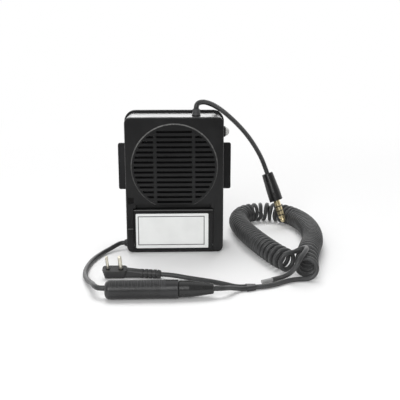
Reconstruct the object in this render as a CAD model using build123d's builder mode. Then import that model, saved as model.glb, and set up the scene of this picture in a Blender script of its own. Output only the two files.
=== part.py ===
from build123d import *
import math
import os

# A push-to-talk loudspeaker box for a portable radio, with the leads and plugs that lie around it.
# Millimetres. The origin is at the bottom centre of the box, +Z is up and the front faces -Y.

# Sizes of the box
box_width = 97.0
box_height = 136.0
front_y = -22.5
seam_y = 15.7
gasket_thickness = 0.8
cover_depth = 6.0
cover_overhang = 2.3
cover_thickness = 2.5
cover_corner = 11.3
cover_edge_round = 2.2
wall = 2.5
draft = 0.4
seam_corner = 9.0
front_corner = 6.0
front_edge_round = 1.0
foot_trim = 0.15
slip = 0.3

cover_front = seam_y + gasket_thickness
back_y = cover_front + cover_depth
inner_y = front_y + wall
cover_inner_y = back_y - cover_thickness
side_x = box_width / 2

# Loudspeaker grille: a raised disc with three columns of louvred slots
grille_z = 87.0
grille_radius = 42.3
grille_proud = 0.8
grille_bevel = 0.5
slot_rows = 15
slot_rise = 0.2
slot_pitch = 4.95
slot_height = 1.5
slot_lip = 0.9
slot_field_radius = 39.8
bar_offset = 18.8
bar_width = 3.2

# Push-to-talk paddle and its pocket
paddle_width = 78.3
paddle_height = 41.0
paddle_x = -1.35
paddle_bottom = 3.2
paddle_thickness = 3.6
paddle_front = front_y - 0.5
paddle_gap = 0.5
paddle_groove = 1.8
paddle_groove_depth = 1.0
paddle_ridge = 1.3
paddle_ridge_round = 0.7
pocket_depth = 6.0
pocket_above = 5.4
pocket_shoulder = 1.5
recess_left = -38.6
recess_right = 36.0
pocket_corner = 1.2
pocket_floor = 2.0
tub_wall = 2.0
tub_roof = 1.2
hinge_drop = 3.5
hinge_rise = 3.3
hinge_barrel_radius = 2.2
hinge_pin_radius = 1.0
running_gap = 0.05
label_width = 72.1
label_height = 35.5
label_thickness = 0.5
label_corner = 1.2
label_side = 1.7
label_rise = 1.5

paddle_back = paddle_front + paddle_thickness
paddle_top = paddle_bottom + paddle_height
hinge_y = front_y + hinge_drop
hinge_z = paddle_bottom + hinge_rise
pocket_floor_y = front_y + pocket_depth
pocket_left = paddle_x - paddle_width / 2 - paddle_gap
pocket_right = paddle_x + paddle_width / 2 + paddle_gap
pocket_bottom = paddle_bottom - paddle_gap
pocket_ledge = paddle_top + pocket_shoulder
pocket_top = paddle_top + pocket_above
tub_back = pocket_floor_y + pocket_floor
tub_top = pocket_top + tub_roof

# Push-to-talk switch behind the paddle
switch_z = 30.0
switch_bush_radius = 3.0
switch_bush_proud = 1.4
switch_body = 12.0
switch_depth = 12.5
plunger_radius = 2.0
plunger_length = 9.6
switch_nut_radius = 5.0
switch_nut_thickness = 1.2

# Screws
screw_inset = 7.0
screw_rise = 6.5
screw_boss_radius = 4.6
cover_screw_radius = 1.5
cover_screw_length = 17.0
cover_screw_head_radius = 3.0
cover_screw_head = 2.0
head_gap = 0.2
speaker_screw_offset = 27.9
speaker_screw_radius = 1.4
speaker_screw_head_radius = 4.5
speaker_screw_head = 1.5
speaker_screw_bite = 4.5
speaker_boss_radius = 3.2

# Loudspeaker
cloth_radius = 41.5
cloth_thickness = 0.5
seal_thickness = 1.0
flange_radius = 36.0
flange_inner = 31.0
flange_thickness = 1.5
cone_lip = 33.5
cone_thickness = 0.5
cone_neck = 9.0
cone_depth = 9.3
dust_cap_rise = 1.9
basket_depth = 12.0
basket_back_radius = 17.5
basket_wall = 1.2
basket_plate = 1.5
basket_bore = 6.0
basket_window = 13.0
magnet_radius = 16.0
magnet_depth = 6.5

# Circuit board and battery
board_width = 88.0
board_height = 118.0
board_thickness = 1.6
board_y = 3.0
board_screw_x = 37.0
board_screw_low = 16.0
board_screw_high = 109.0
board_screw_radius = 1.0
board_screw_bite = 7.0
board_screw_head_radius = 2.2
board_screw_head = 1.4
board_boss_radius = 3.2
chips = [(-16.0, 44.0, 11.0, 1.4), (10.0, 20.0, 8.0, 1.2), (24.0, 50.0, 6.0, 1.0)]
drum_spots = [(-34.0, 40.0), (-34.0, 34.0), (34.0, 36.0)]
drum_radius = 2.5
drum_length = 5.0
battery_width = 62.0
battery_height = 64.0
battery_z = 72.0
battery_round = 2.0
pad_thickness = 3.0
pad_width = 50.0

board_back = board_y + board_thickness
battery_front = board_back + pad_thickness

# Strap bracket on the back
bracket_width = 118.0
bracket_height = 49.0
bracket_z = 78.5
bracket_thickness = 3.0
bracket_corner = 2.0
bracket_gap = 5.0
bracket_rail = 4.0
bracket_rail_width = 80.0
bracket_recess = 0.5
bracket_rim = 1.5
bracket_screw_x = 36.5
bracket_screw_radius = 1.5
bracket_screw_bite = 7.5
bracket_screw_head_radius = 2.8
bracket_screw_head = 1.6
bracket_boss_radius = 3.5
bracket_boss_depth = 8.0

bracket_front = back_y + bracket_gap
bracket_back = bracket_front + bracket_thickness

# Button on the right wall
button_y = -2.5
button_z = 119.0
button_pad_radius = 6.5
button_pad_proud = 0.6
button_pad_inside = 0.7
bezel_radius = 5.3
bezel_thickness = 2.1
bezel_recess = 1.7
bezel_recess_radius = 4.5
button_radius = 4.2
button_skirt = 1.1
button_dome = 2.8
button_stem_radius = 2.82
button_stem_gap = 0.08
button_bush_radius = 4.0
button_bush_length = 6.0
button_nut_radius = 5.3
button_nut_thickness = 2.0
button_travel = 1.5
side_switch_radius = 5.0
side_switch_length = 9.5

pad_face_x = side_x - draft + 0.2 + button_pad_proud
pad_inner_x = side_x - wall - button_pad_inside
bush_end_x = pad_inner_x - button_bush_length
bezel_x = pad_face_x + bezel_thickness
button_base_x = pad_face_x + bezel_thickness - 0.1

# Indicator on the left of the face
indicator_x = -43.4
indicator_z = 53.5
indicator_width = 6.0
indicator_height = 6.0
indicator_recess = 1.6
lens_width = 2.6
lens_height = 3.0
lens_flange = 0.6
lens_flange_thickness = 1.0
led_radius = 1.5
led_length = 4.0
led_leg = 0.5
led_x = -42.8
side_pad_width = 5.5
side_pad_height = 20.8
side_pad_bottom = 4.0
side_pad_proud = 1.0
side_pad_bevel = 0.4

# Glands for the two leads
gland_x = 21.8
gland_y = -8.0
gland_pad_radius = 4.6
gland_pad_proud = 0.45
gland_stem_radius = 3.0
gland_rings = [(4.1, 1.8), (3.4, 0.6), (3.9, 3.0), (3.2, 0.7)]
gland_nut_radius = 5.2
gland_nut_thickness = 2.2
gland_stem_reach = 0.8
grommet_y = -10.5
grommet_z = 6.6
grommet_radius = 3.7
grommet_tip_radius = 2.9
grommet_tip_length = 1.9
grommet_reach = 3.0
grommet_sink = 2.5

gland_pad_top = box_height + gland_pad_proud - draft / 2
gland_pad_bottom = box_height - draft - wall - button_pad_inside
gland_heights = [gland_pad_top]
for ring_radius, ring_height in gland_rings:
    gland_heights.append(gland_heights[-1] + ring_height)
gland_top = gland_heights[-1]

# Leads and plugs on the floor
lead_diameter = 4.2
lower_lead_diameter = 4.5
top_lead_diameter = 5.0
jack_radius = 7.9
jack_left = -57.6
jack_length = 60.9
jack_y = -144.3
jack_round = 4.0
jack_mouth_round = 0.8
jack_exit_back = 1.0
jack_exit_lift = 1.1
bushing_radius = 5.0
bushing_length = 6.0
contact_radius = 4.6
contact_length = 24.0
plug_radius = 3.55
plug_length = 25.4
plug_bore_gap = 0.05
plug_tip_round = 1.4
plug_neck_radius = 2.9
ring_width = 1.0
ring_depth = 0.55
ring_places = [6.5, 11.5, 16.5]
handle_length = 29.3
handle_radius = 7.0
handle_tail_radius = 4.4
mask_handle_length = 32.6
mask_handle_radius = 7.45
mask_handle_top_radius = 6.35
mask_tip = (122.4, 62.0, 6.8)
mask_axis = (-0.3137, 0.236, 0.9196)
mask_run = 14.0

jack_right = jack_left + jack_length
mask_along = Vector(*mask_axis).normalized()
mask_base = Vector(*mask_tip) + mask_along * plug_length
mask_top = mask_base + mask_along * mask_handle_length

# Two-pin radio plug
head_left = -64.8
head_length = 22.0
head_y = -93.3
head_lift = 0.9
head_width = 10.5
head_height = 8.2
head_foot = 1.6
head_corner = 3.2
head_roll = 13.0
neck_length = 14.9
neck_end = (-30.6, -95.0, 4.1)
boot_end = (-12.6, -98.5, 4.2)
neck_width = 8.4
neck_height = 8.0
neck_corner = 1.5
boot_radius = 4.1
boot_groove = 0.8
boot_groove_width = 1.3
boot_grooves = 4
pin_height = 13.0
pin_sink = 3.0
pin_lean = 4.0
small_pin_radius = 1.25
large_pin_radius = 1.75
small_pin_along = -6.0
large_pin_along = 5.5
pin_collar = 0.8
pin_collar_height = 0.6

# Curly cord
wire_diameter = 4.2
wire_sides = 4
wire_roll = 48.0
curl_radius = 8.7
coil_axis_points = [
    (105, -87),
    (97.5, -73),
    (88.8, -46),
    (80, -15),
    (73, 16),
    (69, 50),
    (76, 79),
    (92, 92),
    (109, 93),
    (125, 85),
    (136, 67),
    (143, 37),
    (143, 5),
    (138.5, -25),
    (129.8, -51),
    (123.6, -74),
    (119.2, -94),
    (116.9, -108.7),
]
# Pitch of the curls at distances along the cord: open near the ends, packed in the bends
pitch_stations = [
    (0, 9.0),
    (20, 8.0),
    (42, 6.8),
    (62, 5.9),
    (80, 5.5),
    (112, 5.6),
    (136, 6.4),
    (154, 7.45),
    (240, 7.45),
    (250, 6.2),
    (264, 5.6),
    (280, 5.3),
    (368, 5.1),
    (380, 8.0),
    (394, 11.0),
    (430, 11.0),
]

# Routes of the free leads, chosen along their centre lines
lead_z = lead_diameter / 2 + 0.1
coil_z = curl_radius + wire_diameter / 2 + 0.1
top_route = [
    (gland_x, gland_y, gland_top),
    (gland_x, gland_y, 145.2),
    (24.2, -5.7, 148.1),
    (30.6, 0.0, 148.2),
    (39.4, 10.0, 144.2),
    (48.6, 25.0, 137.4),
    (57.2, 34.5, 129.8),
    (68.6, 46.0, 118.6),
    (80.6, 58.0, 104.6),
    (91.6, 70.6, 88.2),
    mask_top + mask_along * mask_run,
    mask_top,
]
lower_end_y = jack_y + jack_exit_back
lower_end_z = jack_radius + jack_exit_lift
lower_route = [
    (-side_x - grommet_reach, grommet_y, grommet_z),
    (-54.6, grommet_y, grommet_z),
    (-58.8, -13.6, 5.6),
    (-63.8, -19.6, 4.0),
    (-70.6, -28.4, 2.6),
    (-77.2, -44.4, 2.4),
    (-80.8, -61.4, 2.4),
    (-82.0, -79.7, 2.4),
    (-80.6, -95.0, 2.6),
    (-77.2, -107.6, 3.6),
    (-73.4, -118.4, 5.2),
    (-70.4, -126.2, 7.0),
    (-68.6, -132.6, 8.3),
    (-66.6, -138.6, 8.9),
    (-62.8, lower_end_y, lower_end_z),
    (jack_left, lower_end_y, lower_end_z),
]
pigtail_route = [
    (109.0, -85.6, 19.6),
    (113.2, -84.2, 21.4),
    (117.6, -86.8, 24.4),
    (119.0, -92.8, 26.2),
    (117.6, -99.6, 26.6),
    (114.2, -106.4, 25.6),
    (109.8, -112.2, 22.4),
    (106.1, -114.8, 16.4),
    (102.9, -112.6, 10.0),
    (98.0, -108.6, 4.9),
    (91.8, -107.4, 2.4),
    (86.0, -110.0, lead_z),
]
sleeve_length = 10.4
tail_route = [
    (112.7, -108.9, lead_z),
    (108.6, -109.2, lead_z),
    (102.6, -111.2, lead_z),
    (96.0, -115.0, lead_z),
    (88.4, -120.6, lead_z),
    (81.2, -124.4, lead_z),
    (74.6, -126.4, lead_z),
    (69.4, -127.1, lead_z),
]
splice_length = 8.0
splice_run = 5.0
boot_run = 10.0
splice_start = Vector(*tail_route[-1])
splice_along = (splice_start - Vector(*tail_route[-2])).normalized()
splice_beside = splice_along.cross(Vector(0, 0, 1))
splice_stop = splice_start + splice_along * splice_length
boot_along = (Vector(*boot_end) - Vector(*neck_end)).normalized()
radio_start = splice_stop + splice_beside * (lead_diameter / 2 + 0.1)
inline_start = splice_stop - splice_beside * (lead_diameter / 2 + 0.1)
radio_route = [
    radio_start,
    radio_start + splice_along * splice_run,
    (50.4, -124.4, lead_z),
    (44.0, -119.6, lead_z),
    (34.4, -113.6, lead_z),
    (22.3, -107.9, lead_z),
    (10.5, -103.4, 2.6),
    Vector(*boot_end) + boot_along * boot_run,
    boot_end,
]
inline_route = [
    inline_start,
    inline_start + splice_along * splice_run,
    (50.8, -134.2, 4.2),
    (45.6, -139.2, 6.4),
    (41.6, -143.0, 7.6),
    (36.6, jack_y, jack_radius),
    (jack_right + handle_length, jack_y, jack_radius),
]


# Planes and outlines used by many pieces
def facing(y):
    """Plane seen from the front: x to the right, z up, extrusions come forward."""
    return Plane.XZ.offset(-y)


def lathe_plane(origin, heading):
    """Plane through an axis: local x is the radius, local y runs along the heading."""
    along = Vector(*heading).normalized()
    beside = along.cross(Vector(0, 0, 1) if abs(along.Z) < 0.9 else Vector(0, 1, 0)).normalized()
    return Plane(origin=origin, x_dir=beside, z_dir=beside.cross(along))


def cover_screw_spots():
    """Centres of the four corner screws, as x and z."""
    x = side_x - screw_inset
    return [(-x, screw_rise), (x, screw_rise), (-x, box_height - screw_rise), (x, box_height - screw_rise)]


def speaker_screw_spots():
    """Centres of the four screws round the loudspeaker, as x and z."""
    step = speaker_screw_offset
    return [(x, grille_z + z) for x in (-step, step) for z in (-step, step)]


def board_screw_spots():
    """Centres of the four circuit board screws, as x and z."""
    return [(x, z) for x in (-board_screw_x, board_screw_x) for z in (board_screw_low, board_screw_high)]


def bracket_screw_spots():
    """Centres of the four bracket screws, as x and z, in the middle of each rail."""
    reach = (bracket_height - bracket_rail) / 2
    return [(x, bracket_z + z) for x in (-bracket_screw_x, bracket_screw_x) for z in (-reach, reach)]


def finish(piece, name):
    """Label a finished piece and write its file."""
    piece.part.label = name
    export_step(piece.part, f"parts/{name}.step")


os.makedirs("parts", exist_ok=True)

# Cutter for the louvred slots, bounded by a circle and parted by two bars
slot_front = front_y - grille_proud - 0.5
slot_back = inner_y + 0.5
with BuildPart() as slot_cutter:
    for row in range(slot_rows):
        slot_z = grille_z + slot_rise + (row - (slot_rows - 1) / 2) * slot_pitch
        with BuildSketch(Plane.YZ):
            Polygon(
                (slot_front, slot_z + slot_height / 2),
                (slot_front, slot_z - slot_height / 2 - slot_lip),
                (front_y + wall / 2, slot_z - slot_height / 2),
                (slot_back, slot_z - slot_height / 2),
                (slot_back, slot_z + slot_height / 2),
                align=None,
            )
        extrude(amount=slot_field_radius, both=True)
    with BuildSketch(facing(slot_back)):
        with Locations((0, grille_z)):
            Circle(slot_field_radius)
        with Locations((-bar_offset, grille_z), (bar_offset, grille_z)):
            Rectangle(bar_width, 2 * slot_field_radius, mode=Mode.SUBTRACT)
    extrude(amount=slot_back - slot_front, mode=Mode.INTERSECT)

# Front housing: a drafted shell, its grille, the paddle's pocket and the bosses
with BuildPart() as front_housing:
    with BuildSketch(facing(seam_y)):
        with Locations((0, (box_height - foot_trim) / 2)):
            RectangleRounded(box_width, box_height + foot_trim, seam_corner)
    with BuildSketch(facing(front_y)):
        with Locations((0, (box_height - draft - foot_trim) / 2)):
            RectangleRounded(box_width - 2 * draft, box_height - draft + foot_trim, front_corner)
    loft()
    fillet(front_housing.faces().sort_by(Axis.Y)[0].edges(), front_edge_round)
    with BuildSketch(Plane.XY):
        Rectangle(2 * box_width, 2 * box_width)
    extrude(amount=-2 * foot_trim, mode=Mode.SUBTRACT)
    with BuildSketch(facing(seam_y)):
        with Locations((0, box_height / 2)):
            RectangleRounded(box_width - 2 * wall, box_height - 2 * wall, seam_corner - wall)
    with BuildSketch(facing(inner_y)):
        with Locations((0, (box_height - draft) / 2)):
            RectangleRounded(
                box_width - 2 * (wall + draft),
                box_height - 2 * wall - draft,
                front_corner - wall,
            )
    loft(mode=Mode.SUBTRACT)
    with BuildSketch(facing(front_y)):
        with Locations((0, grille_z)):
            Circle(grille_radius)
    extrude(amount=grille_proud)
    chamfer(front_housing.faces().sort_by(Axis.Y)[0].edges(), grille_bevel)
    with BuildSketch(facing(front_y)):
        pad_right = pocket_left - paddle_gap
        with Locations((pad_right - side_pad_width / 2, side_pad_bottom + side_pad_height / 2)):
            Rectangle(side_pad_width, side_pad_height)
    extrude(amount=side_pad_proud)
    chamfer(front_housing.faces().sort_by(Axis.Y)[0].edges(), side_pad_bevel)
    with BuildSketch(facing(seam_y)):
        with Locations(*cover_screw_spots()):
            Circle(screw_boss_radius)
    extrude(amount=seam_y - inner_y + wall / 2)
    with BuildSketch(facing(inner_y + cloth_thickness + seal_thickness + flange_thickness)):
        with Locations(*speaker_screw_spots()):
            Circle(speaker_boss_radius)
    extrude(amount=cloth_thickness + seal_thickness + flange_thickness + wall / 2)
    with BuildSketch(facing(tub_back)):
        with Locations(((pocket_left + pocket_right) / 2, (tub_top + wall / 2) / 2)):
            Rectangle(pocket_right - pocket_left + 2 * tub_wall, tub_top - wall / 2)
    extrude(amount=tub_back - inner_y + wall / 2)
    with BuildSketch(facing(pocket_floor_y)):
        with Locations(((pocket_left + pocket_right) / 2, (pocket_bottom + pocket_ledge) / 2)):
            RectangleRounded(pocket_right - pocket_left, pocket_ledge - pocket_bottom, pocket_corner)
        with Locations(((recess_left + recess_right) / 2, (pocket_bottom + pocket_top) / 2)):
            RectangleRounded(recess_right - recess_left, pocket_top - pocket_bottom, pocket_corner)
    extrude(amount=pocket_depth + grille_proud + 1, mode=Mode.SUBTRACT)
    add(slot_cutter.part, mode=Mode.SUBTRACT)
    with BuildSketch(Plane.YZ.offset(pad_inner_x)):
        with Locations((button_y, button_z)):
            Circle(button_pad_radius)
    extrude(amount=pad_face_x - pad_inner_x)
    with BuildSketch(Plane.YZ.offset(pad_inner_x)):
        with Locations((button_y, button_z)):
            Circle(button_bush_radius)
    extrude(amount=pad_face_x - pad_inner_x, mode=Mode.SUBTRACT)
    with BuildSketch(Plane.XY.offset(gland_pad_bottom)):
        with Locations((gland_x, gland_y)):
            Circle(gland_pad_radius)
    extrude(amount=gland_pad_top - gland_pad_bottom)
    with BuildSketch(Plane.XY.offset(gland_pad_bottom)):
        with Locations((gland_x, gland_y)):
            Circle(gland_stem_radius)
    extrude(amount=gland_pad_top - gland_pad_bottom, mode=Mode.SUBTRACT)
    with BuildSketch(Plane.YZ.offset(-side_x + grommet_sink)):
        with Locations((grommet_y, grommet_z)):
            Circle(grommet_radius)
    extrude(amount=-grommet_sink - 1, mode=Mode.SUBTRACT)
    with BuildSketch(Plane.YZ.offset(pocket_left - tub_wall)):
        with Locations((hinge_y, hinge_z)):
            Circle(hinge_pin_radius)
    extrude(amount=pocket_right - pocket_left + 2 * tub_wall, mode=Mode.SUBTRACT)
    with BuildSketch(facing(tub_back)):
        with Locations((0, switch_z)):
            Circle(switch_bush_radius)
    extrude(amount=pocket_floor, mode=Mode.SUBTRACT)
    with BuildSketch(facing(seam_y)):
        with Locations(*cover_screw_spots()):
            Circle(cover_screw_radius)
    extrude(amount=cover_screw_length, mode=Mode.SUBTRACT)
    with BuildSketch(facing(inner_y + cloth_thickness + seal_thickness + flange_thickness)):
        with Locations(*speaker_screw_spots()):
            Circle(speaker_screw_radius)
    extrude(amount=speaker_screw_bite, mode=Mode.SUBTRACT)
    with BuildSketch(facing(front_y + indicator_recess)):
        with Locations((indicator_x, indicator_z)):
            Rectangle(indicator_width, indicator_height)
    extrude(amount=indicator_recess + 1, mode=Mode.SUBTRACT)
    with BuildSketch(facing(inner_y)):
        with Locations((indicator_x, indicator_z)):
            Rectangle(lens_width, lens_height)
    extrude(amount=wall, mode=Mode.SUBTRACT)
finish(front_housing, "front_housing")

# Gasket in the seam
with BuildPart() as housing_gasket:
    with BuildSketch(facing(cover_front)):
        with Locations((0, box_height / 2)):
            RectangleRounded(box_width, box_height, seam_corner)
            RectangleRounded(
                box_width - 2 * wall,
                box_height - 2 * wall,
                seam_corner - wall,
                mode=Mode.SUBTRACT,
            )
    extrude(amount=gasket_thickness)
finish(housing_gasket, "housing_gasket")

# Rear cover, proud of the housing at the sides and the top
cover_width = box_width + 2 * cover_overhang - 2 * draft + 0.6
cover_height = box_height + cover_overhang
with BuildPart() as rear_cover:
    with BuildSketch(facing(back_y)):
        with Locations((0, cover_height / 2)):
            RectangleRounded(cover_width, cover_height, cover_corner)
    extrude(amount=cover_depth)
    fillet(rear_cover.faces().sort_by(Axis.Y)[-1].edges(), cover_edge_round)
    with BuildSketch(facing(cover_inner_y)):
        with Locations((0, box_height / 2)):
            RectangleRounded(box_width - 2 * wall, box_height - 2 * wall, seam_corner - wall)
    extrude(amount=cover_depth, mode=Mode.SUBTRACT)
    with BuildSketch(facing(cover_inner_y + cover_thickness / 2)):
        with Locations(*cover_screw_spots()):
            Circle(screw_boss_radius)
    extrude(amount=cover_inner_y + cover_thickness / 2 - cover_front)
    with BuildSketch(facing(cover_inner_y + cover_thickness / 2)):
        with Locations(*board_screw_spots()):
            Circle(board_boss_radius)
    extrude(amount=cover_inner_y + cover_thickness / 2 - board_back)
    with BuildSketch(facing(cover_inner_y + cover_thickness / 2)):
        with Locations(*bracket_screw_spots()):
            Circle(bracket_boss_radius)
    extrude(amount=bracket_boss_depth + cover_thickness / 2)
    with BuildSketch(facing(back_y)):
        with Locations(*cover_screw_spots()):
            Circle(cover_screw_radius)
    extrude(amount=cover_depth, mode=Mode.SUBTRACT)
    with BuildSketch(facing(back_y)):
        with Locations(*cover_screw_spots()):
            Circle(cover_screw_head_radius + head_gap)
    extrude(amount=cover_screw_head + head_gap, mode=Mode.SUBTRACT)
    with BuildSketch(facing(back_y)):
        with Locations(*bracket_screw_spots()):
            Circle(bracket_screw_radius)
    extrude(amount=bracket_screw_bite, mode=Mode.SUBTRACT)
    with BuildSketch(facing(board_back + board_screw_bite)):
        with Locations(*board_screw_spots()):
            Circle(board_screw_radius)
    extrude(amount=board_screw_bite, mode=Mode.SUBTRACT)
finish(rear_cover, "rear_cover")

# Four screws that hold the cover to the housing
with BuildPart() as cover_screws:
    with BuildSketch(facing(back_y - head_gap)):
        with Locations(*cover_screw_spots()):
            Circle(cover_screw_head_radius)
    extrude(amount=cover_screw_head)
    with BuildSketch(facing(back_y - head_gap)):
        with Locations(*cover_screw_spots()):
            RegularPolygon(cover_screw_radius, 6)
    extrude(amount=cover_screw_head / 2, mode=Mode.SUBTRACT)
    with BuildSketch(facing(back_y - head_gap - cover_screw_head)):
        with Locations(*cover_screw_spots()):
            Circle(cover_screw_radius)
    extrude(amount=cover_screw_length)
finish(cover_screws, "cover_screws")

# Bracket for the carrying strap: two rails and a winged plate
with BuildPart() as strap_bracket:
    with BuildSketch(facing(bracket_back)):
        with Locations((0, bracket_z)):
            RectangleRounded(bracket_width, bracket_height, bracket_corner)
    extrude(amount=bracket_thickness)
    with BuildSketch(facing(bracket_front)):
        rail_reach = (bracket_height - bracket_rail) / 2
        with Locations((0, bracket_z - rail_reach), (0, bracket_z + rail_reach)):
            Rectangle(bracket_rail_width, bracket_rail)
    extrude(amount=bracket_gap)
    with BuildSketch(facing(bracket_front + bracket_recess)):
        wing = (bracket_width - cover_width) / 2 - 2 * bracket_rim + 1
        wing_x = bracket_width / 2 - bracket_rim - wing / 2
        with Locations((-wing_x, bracket_z), (wing_x, bracket_z)):
            Rectangle(wing, bracket_height - 2 * bracket_rim)
    extrude(amount=bracket_recess, mode=Mode.SUBTRACT)
    with BuildSketch(facing(bracket_back)):
        with Locations(*bracket_screw_spots()):
            Circle(bracket_screw_radius)
    extrude(amount=bracket_thickness + bracket_gap, mode=Mode.SUBTRACT)
finish(strap_bracket, "strap_bracket")

with BuildPart() as bracket_screws:
    with BuildSketch(facing(bracket_back)):
        with Locations(*bracket_screw_spots()):
            Circle(bracket_screw_head_radius)
    extrude(amount=-bracket_screw_head)
    with BuildSketch(facing(bracket_back)):
        with Locations(*bracket_screw_spots()):
            Circle(bracket_screw_radius)
    extrude(amount=bracket_thickness + bracket_gap + bracket_screw_bite)
finish(bracket_screws, "bracket_screws")

# Loudspeaker, from the cloth behind the slots to the magnet
cloth_back = inner_y + cloth_thickness
seal_back = cloth_back + seal_thickness
flange_back = seal_back + flange_thickness
with BuildPart() as grille_cloth:
    with BuildSketch(facing(cloth_back)):
        with Locations((0, grille_z)):
            Circle(cloth_radius)
        with Locations(*speaker_screw_spots()):
            Circle(speaker_boss_radius + slip, mode=Mode.SUBTRACT)
        with Locations((0, tub_top + slip - cloth_radius)):
            Rectangle(3 * cloth_radius, 2 * cloth_radius, mode=Mode.SUBTRACT)
    extrude(amount=cloth_thickness)
finish(grille_cloth, "grille_cloth")

with BuildPart() as speaker_seal:
    with BuildSketch(facing(seal_back)):
        with Locations((0, grille_z)):
            Circle(flange_radius)
            Circle(cone_lip + 0.2, mode=Mode.SUBTRACT)
    extrude(amount=seal_thickness)
finish(speaker_seal, "speaker_seal")

speaker_axis = Axis((0, 0, grille_z), (0, 1, 0))
basket_back = flange_back + basket_depth
with BuildPart() as speaker_basket:
    with BuildSketch(lathe_plane((0, 0, grille_z), (0, 1, 0))):
        Polygon(
            (flange_inner, seal_back),
            (flange_radius, seal_back),
            (flange_radius, flange_back),
            (flange_inner + 2, flange_back),
            (basket_back_radius, basket_back - basket_plate / 2),
            (basket_back_radius, basket_back),
            (basket_bore, basket_back),
            (basket_bore, basket_back - basket_plate),
            (basket_back_radius - basket_wall, basket_back - basket_plate),
            (flange_inner, flange_back - basket_wall / 2),
            align=None,
        )
    revolve(axis=speaker_axis)
    with BuildSketch(facing(basket_back - basket_plate)):
        with Locations((0, grille_z)):
            with PolarLocations(flange_inner - basket_window / 2 - 1, 4):
                Rectangle(basket_window / 2, basket_window)
    extrude(amount=basket_depth - basket_plate, mode=Mode.SUBTRACT)
finish(speaker_basket, "speaker_basket")

with BuildPart() as speaker_cone:
    with BuildSketch(lathe_plane((0, 0, grille_z), (0, 1, 0))):
        Polygon(
            (0, seal_back + cone_depth - dust_cap_rise - 0.6),
            (cone_neck, seal_back + cone_depth - cone_thickness),
            (flange_inner - 0.6, seal_back - cone_thickness),
            (cone_lip, seal_back - cone_thickness),
            (cone_lip, seal_back),
            (flange_inner - 0.3, seal_back),
            (cone_neck - 0.4, seal_back + cone_depth),
            (0, seal_back + cone_depth),
            align=None,
        )
    revolve(axis=speaker_axis)
finish(speaker_cone, "speaker_cone")

with BuildPart() as speaker_magnet:
    with BuildSketch(facing(basket_back + magnet_depth)):
        with Locations((0, grille_z)):
            Circle(magnet_radius)
    extrude(amount=magnet_depth)
    chamfer(speaker_magnet.faces().sort_by(Axis.Y)[-1].edges(), 1.0)
finish(speaker_magnet, "speaker_magnet")

with BuildPart() as speaker_screws:
    with BuildSketch(facing(flange_back)):
        with Locations(*speaker_screw_spots()):
            Circle(speaker_screw_head_radius)
    extrude(amount=-speaker_screw_head)
    with BuildSketch(facing(flange_back)):
        with Locations(*speaker_screw_spots()):
            Circle(speaker_screw_radius)
    extrude(amount=speaker_screw_bite)
finish(speaker_screws, "speaker_screws")

# Circuit board, its parts and screws, and the battery behind it
notch_x = side_x - screw_inset - screw_boss_radius - slip
notch_z = screw_rise + screw_boss_radius + slip
notch_spots = [
    (turn * (side_x + notch_x) / 2, middle_z)
    for turn in (-1, 1)
    for middle_z in (notch_z / 2, box_height - notch_z / 2)
]
with BuildPart() as circuit_board:
    with BuildSketch(facing(board_back)):
        with Locations((0, box_height / 2)):
            Rectangle(board_width, board_height)
        with Locations(*notch_spots):
            Rectangle(side_x - notch_x, notch_z, mode=Mode.SUBTRACT)
        with Locations(*board_screw_spots()):
            Circle(board_screw_radius + running_gap, mode=Mode.SUBTRACT)
    extrude(amount=board_thickness)
finish(circuit_board, "circuit_board")

with BuildPart() as board_parts:
    for chip_x, chip_z, chip_side, chip_height in chips:
        with BuildSketch(facing(board_y)):
            with Locations((chip_x, chip_z)):
                Rectangle(chip_side, chip_side)
        extrude(amount=chip_height)
    with BuildSketch(facing(board_y)):
        with Locations(*drum_spots):
            Circle(drum_radius)
    extrude(amount=drum_length)
finish(board_parts, "board_parts")

with BuildPart() as board_screws:
    with BuildSketch(facing(board_y)):
        with Locations(*board_screw_spots()):
            Circle(board_screw_head_radius)
    extrude(amount=board_screw_head)
    with BuildSketch(facing(board_back + board_screw_bite)):
        with Locations(*board_screw_spots()):
            Circle(board_screw_radius)
    extrude(amount=board_thickness + board_screw_bite)
finish(board_screws, "board_screws")

with BuildPart() as battery_pad:
    with BuildSketch(facing(battery_front)):
        with Locations((0, battery_z)):
            Rectangle(pad_width, pad_width)
    extrude(amount=pad_thickness)
finish(battery_pad, "battery_pad")

with BuildPart() as battery_pack:
    with BuildSketch(facing(cover_inner_y)):
        with Locations((0, battery_z)):
            Rectangle(battery_width, battery_height)
    extrude(amount=cover_inner_y - battery_front)
    fillet(battery_pack.edges().filter_by(Axis.Z), battery_round)
finish(battery_pack, "battery_pack")

# Push-to-talk paddle, which turns on a pin along its lower edge
with BuildPart() as ptt_paddle:
    with BuildSketch(facing(paddle_back)):
        with Locations((paddle_x, (paddle_bottom + paddle_top) / 2)):
            Rectangle(paddle_width, paddle_height)
    extrude(amount=paddle_thickness)
    fillet(ptt_paddle.edges().filter_by(Axis.X).sort_by(Axis.Z)[-2:].sort_by(Axis.Y)[0], paddle_ridge_round)
    with BuildSketch(facing(paddle_front + paddle_groove_depth)):
        with Locations((paddle_x, paddle_top - paddle_ridge - paddle_groove / 2)):
            Rectangle(paddle_width, paddle_groove)
    extrude(amount=paddle_groove_depth, mode=Mode.SUBTRACT)
    with BuildSketch(Plane.YZ.offset(paddle_x - paddle_width / 2)):
        with Locations((hinge_y, hinge_z)):
            Circle(hinge_barrel_radius)
    extrude(amount=paddle_width)
    with BuildSketch(Plane.YZ.offset(paddle_x - paddle_width / 2)):
        with Locations((hinge_y, hinge_z)):
            Circle(hinge_pin_radius + running_gap)
    extrude(amount=paddle_width, mode=Mode.SUBTRACT)
finish(ptt_paddle, "ptt_paddle")

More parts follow.
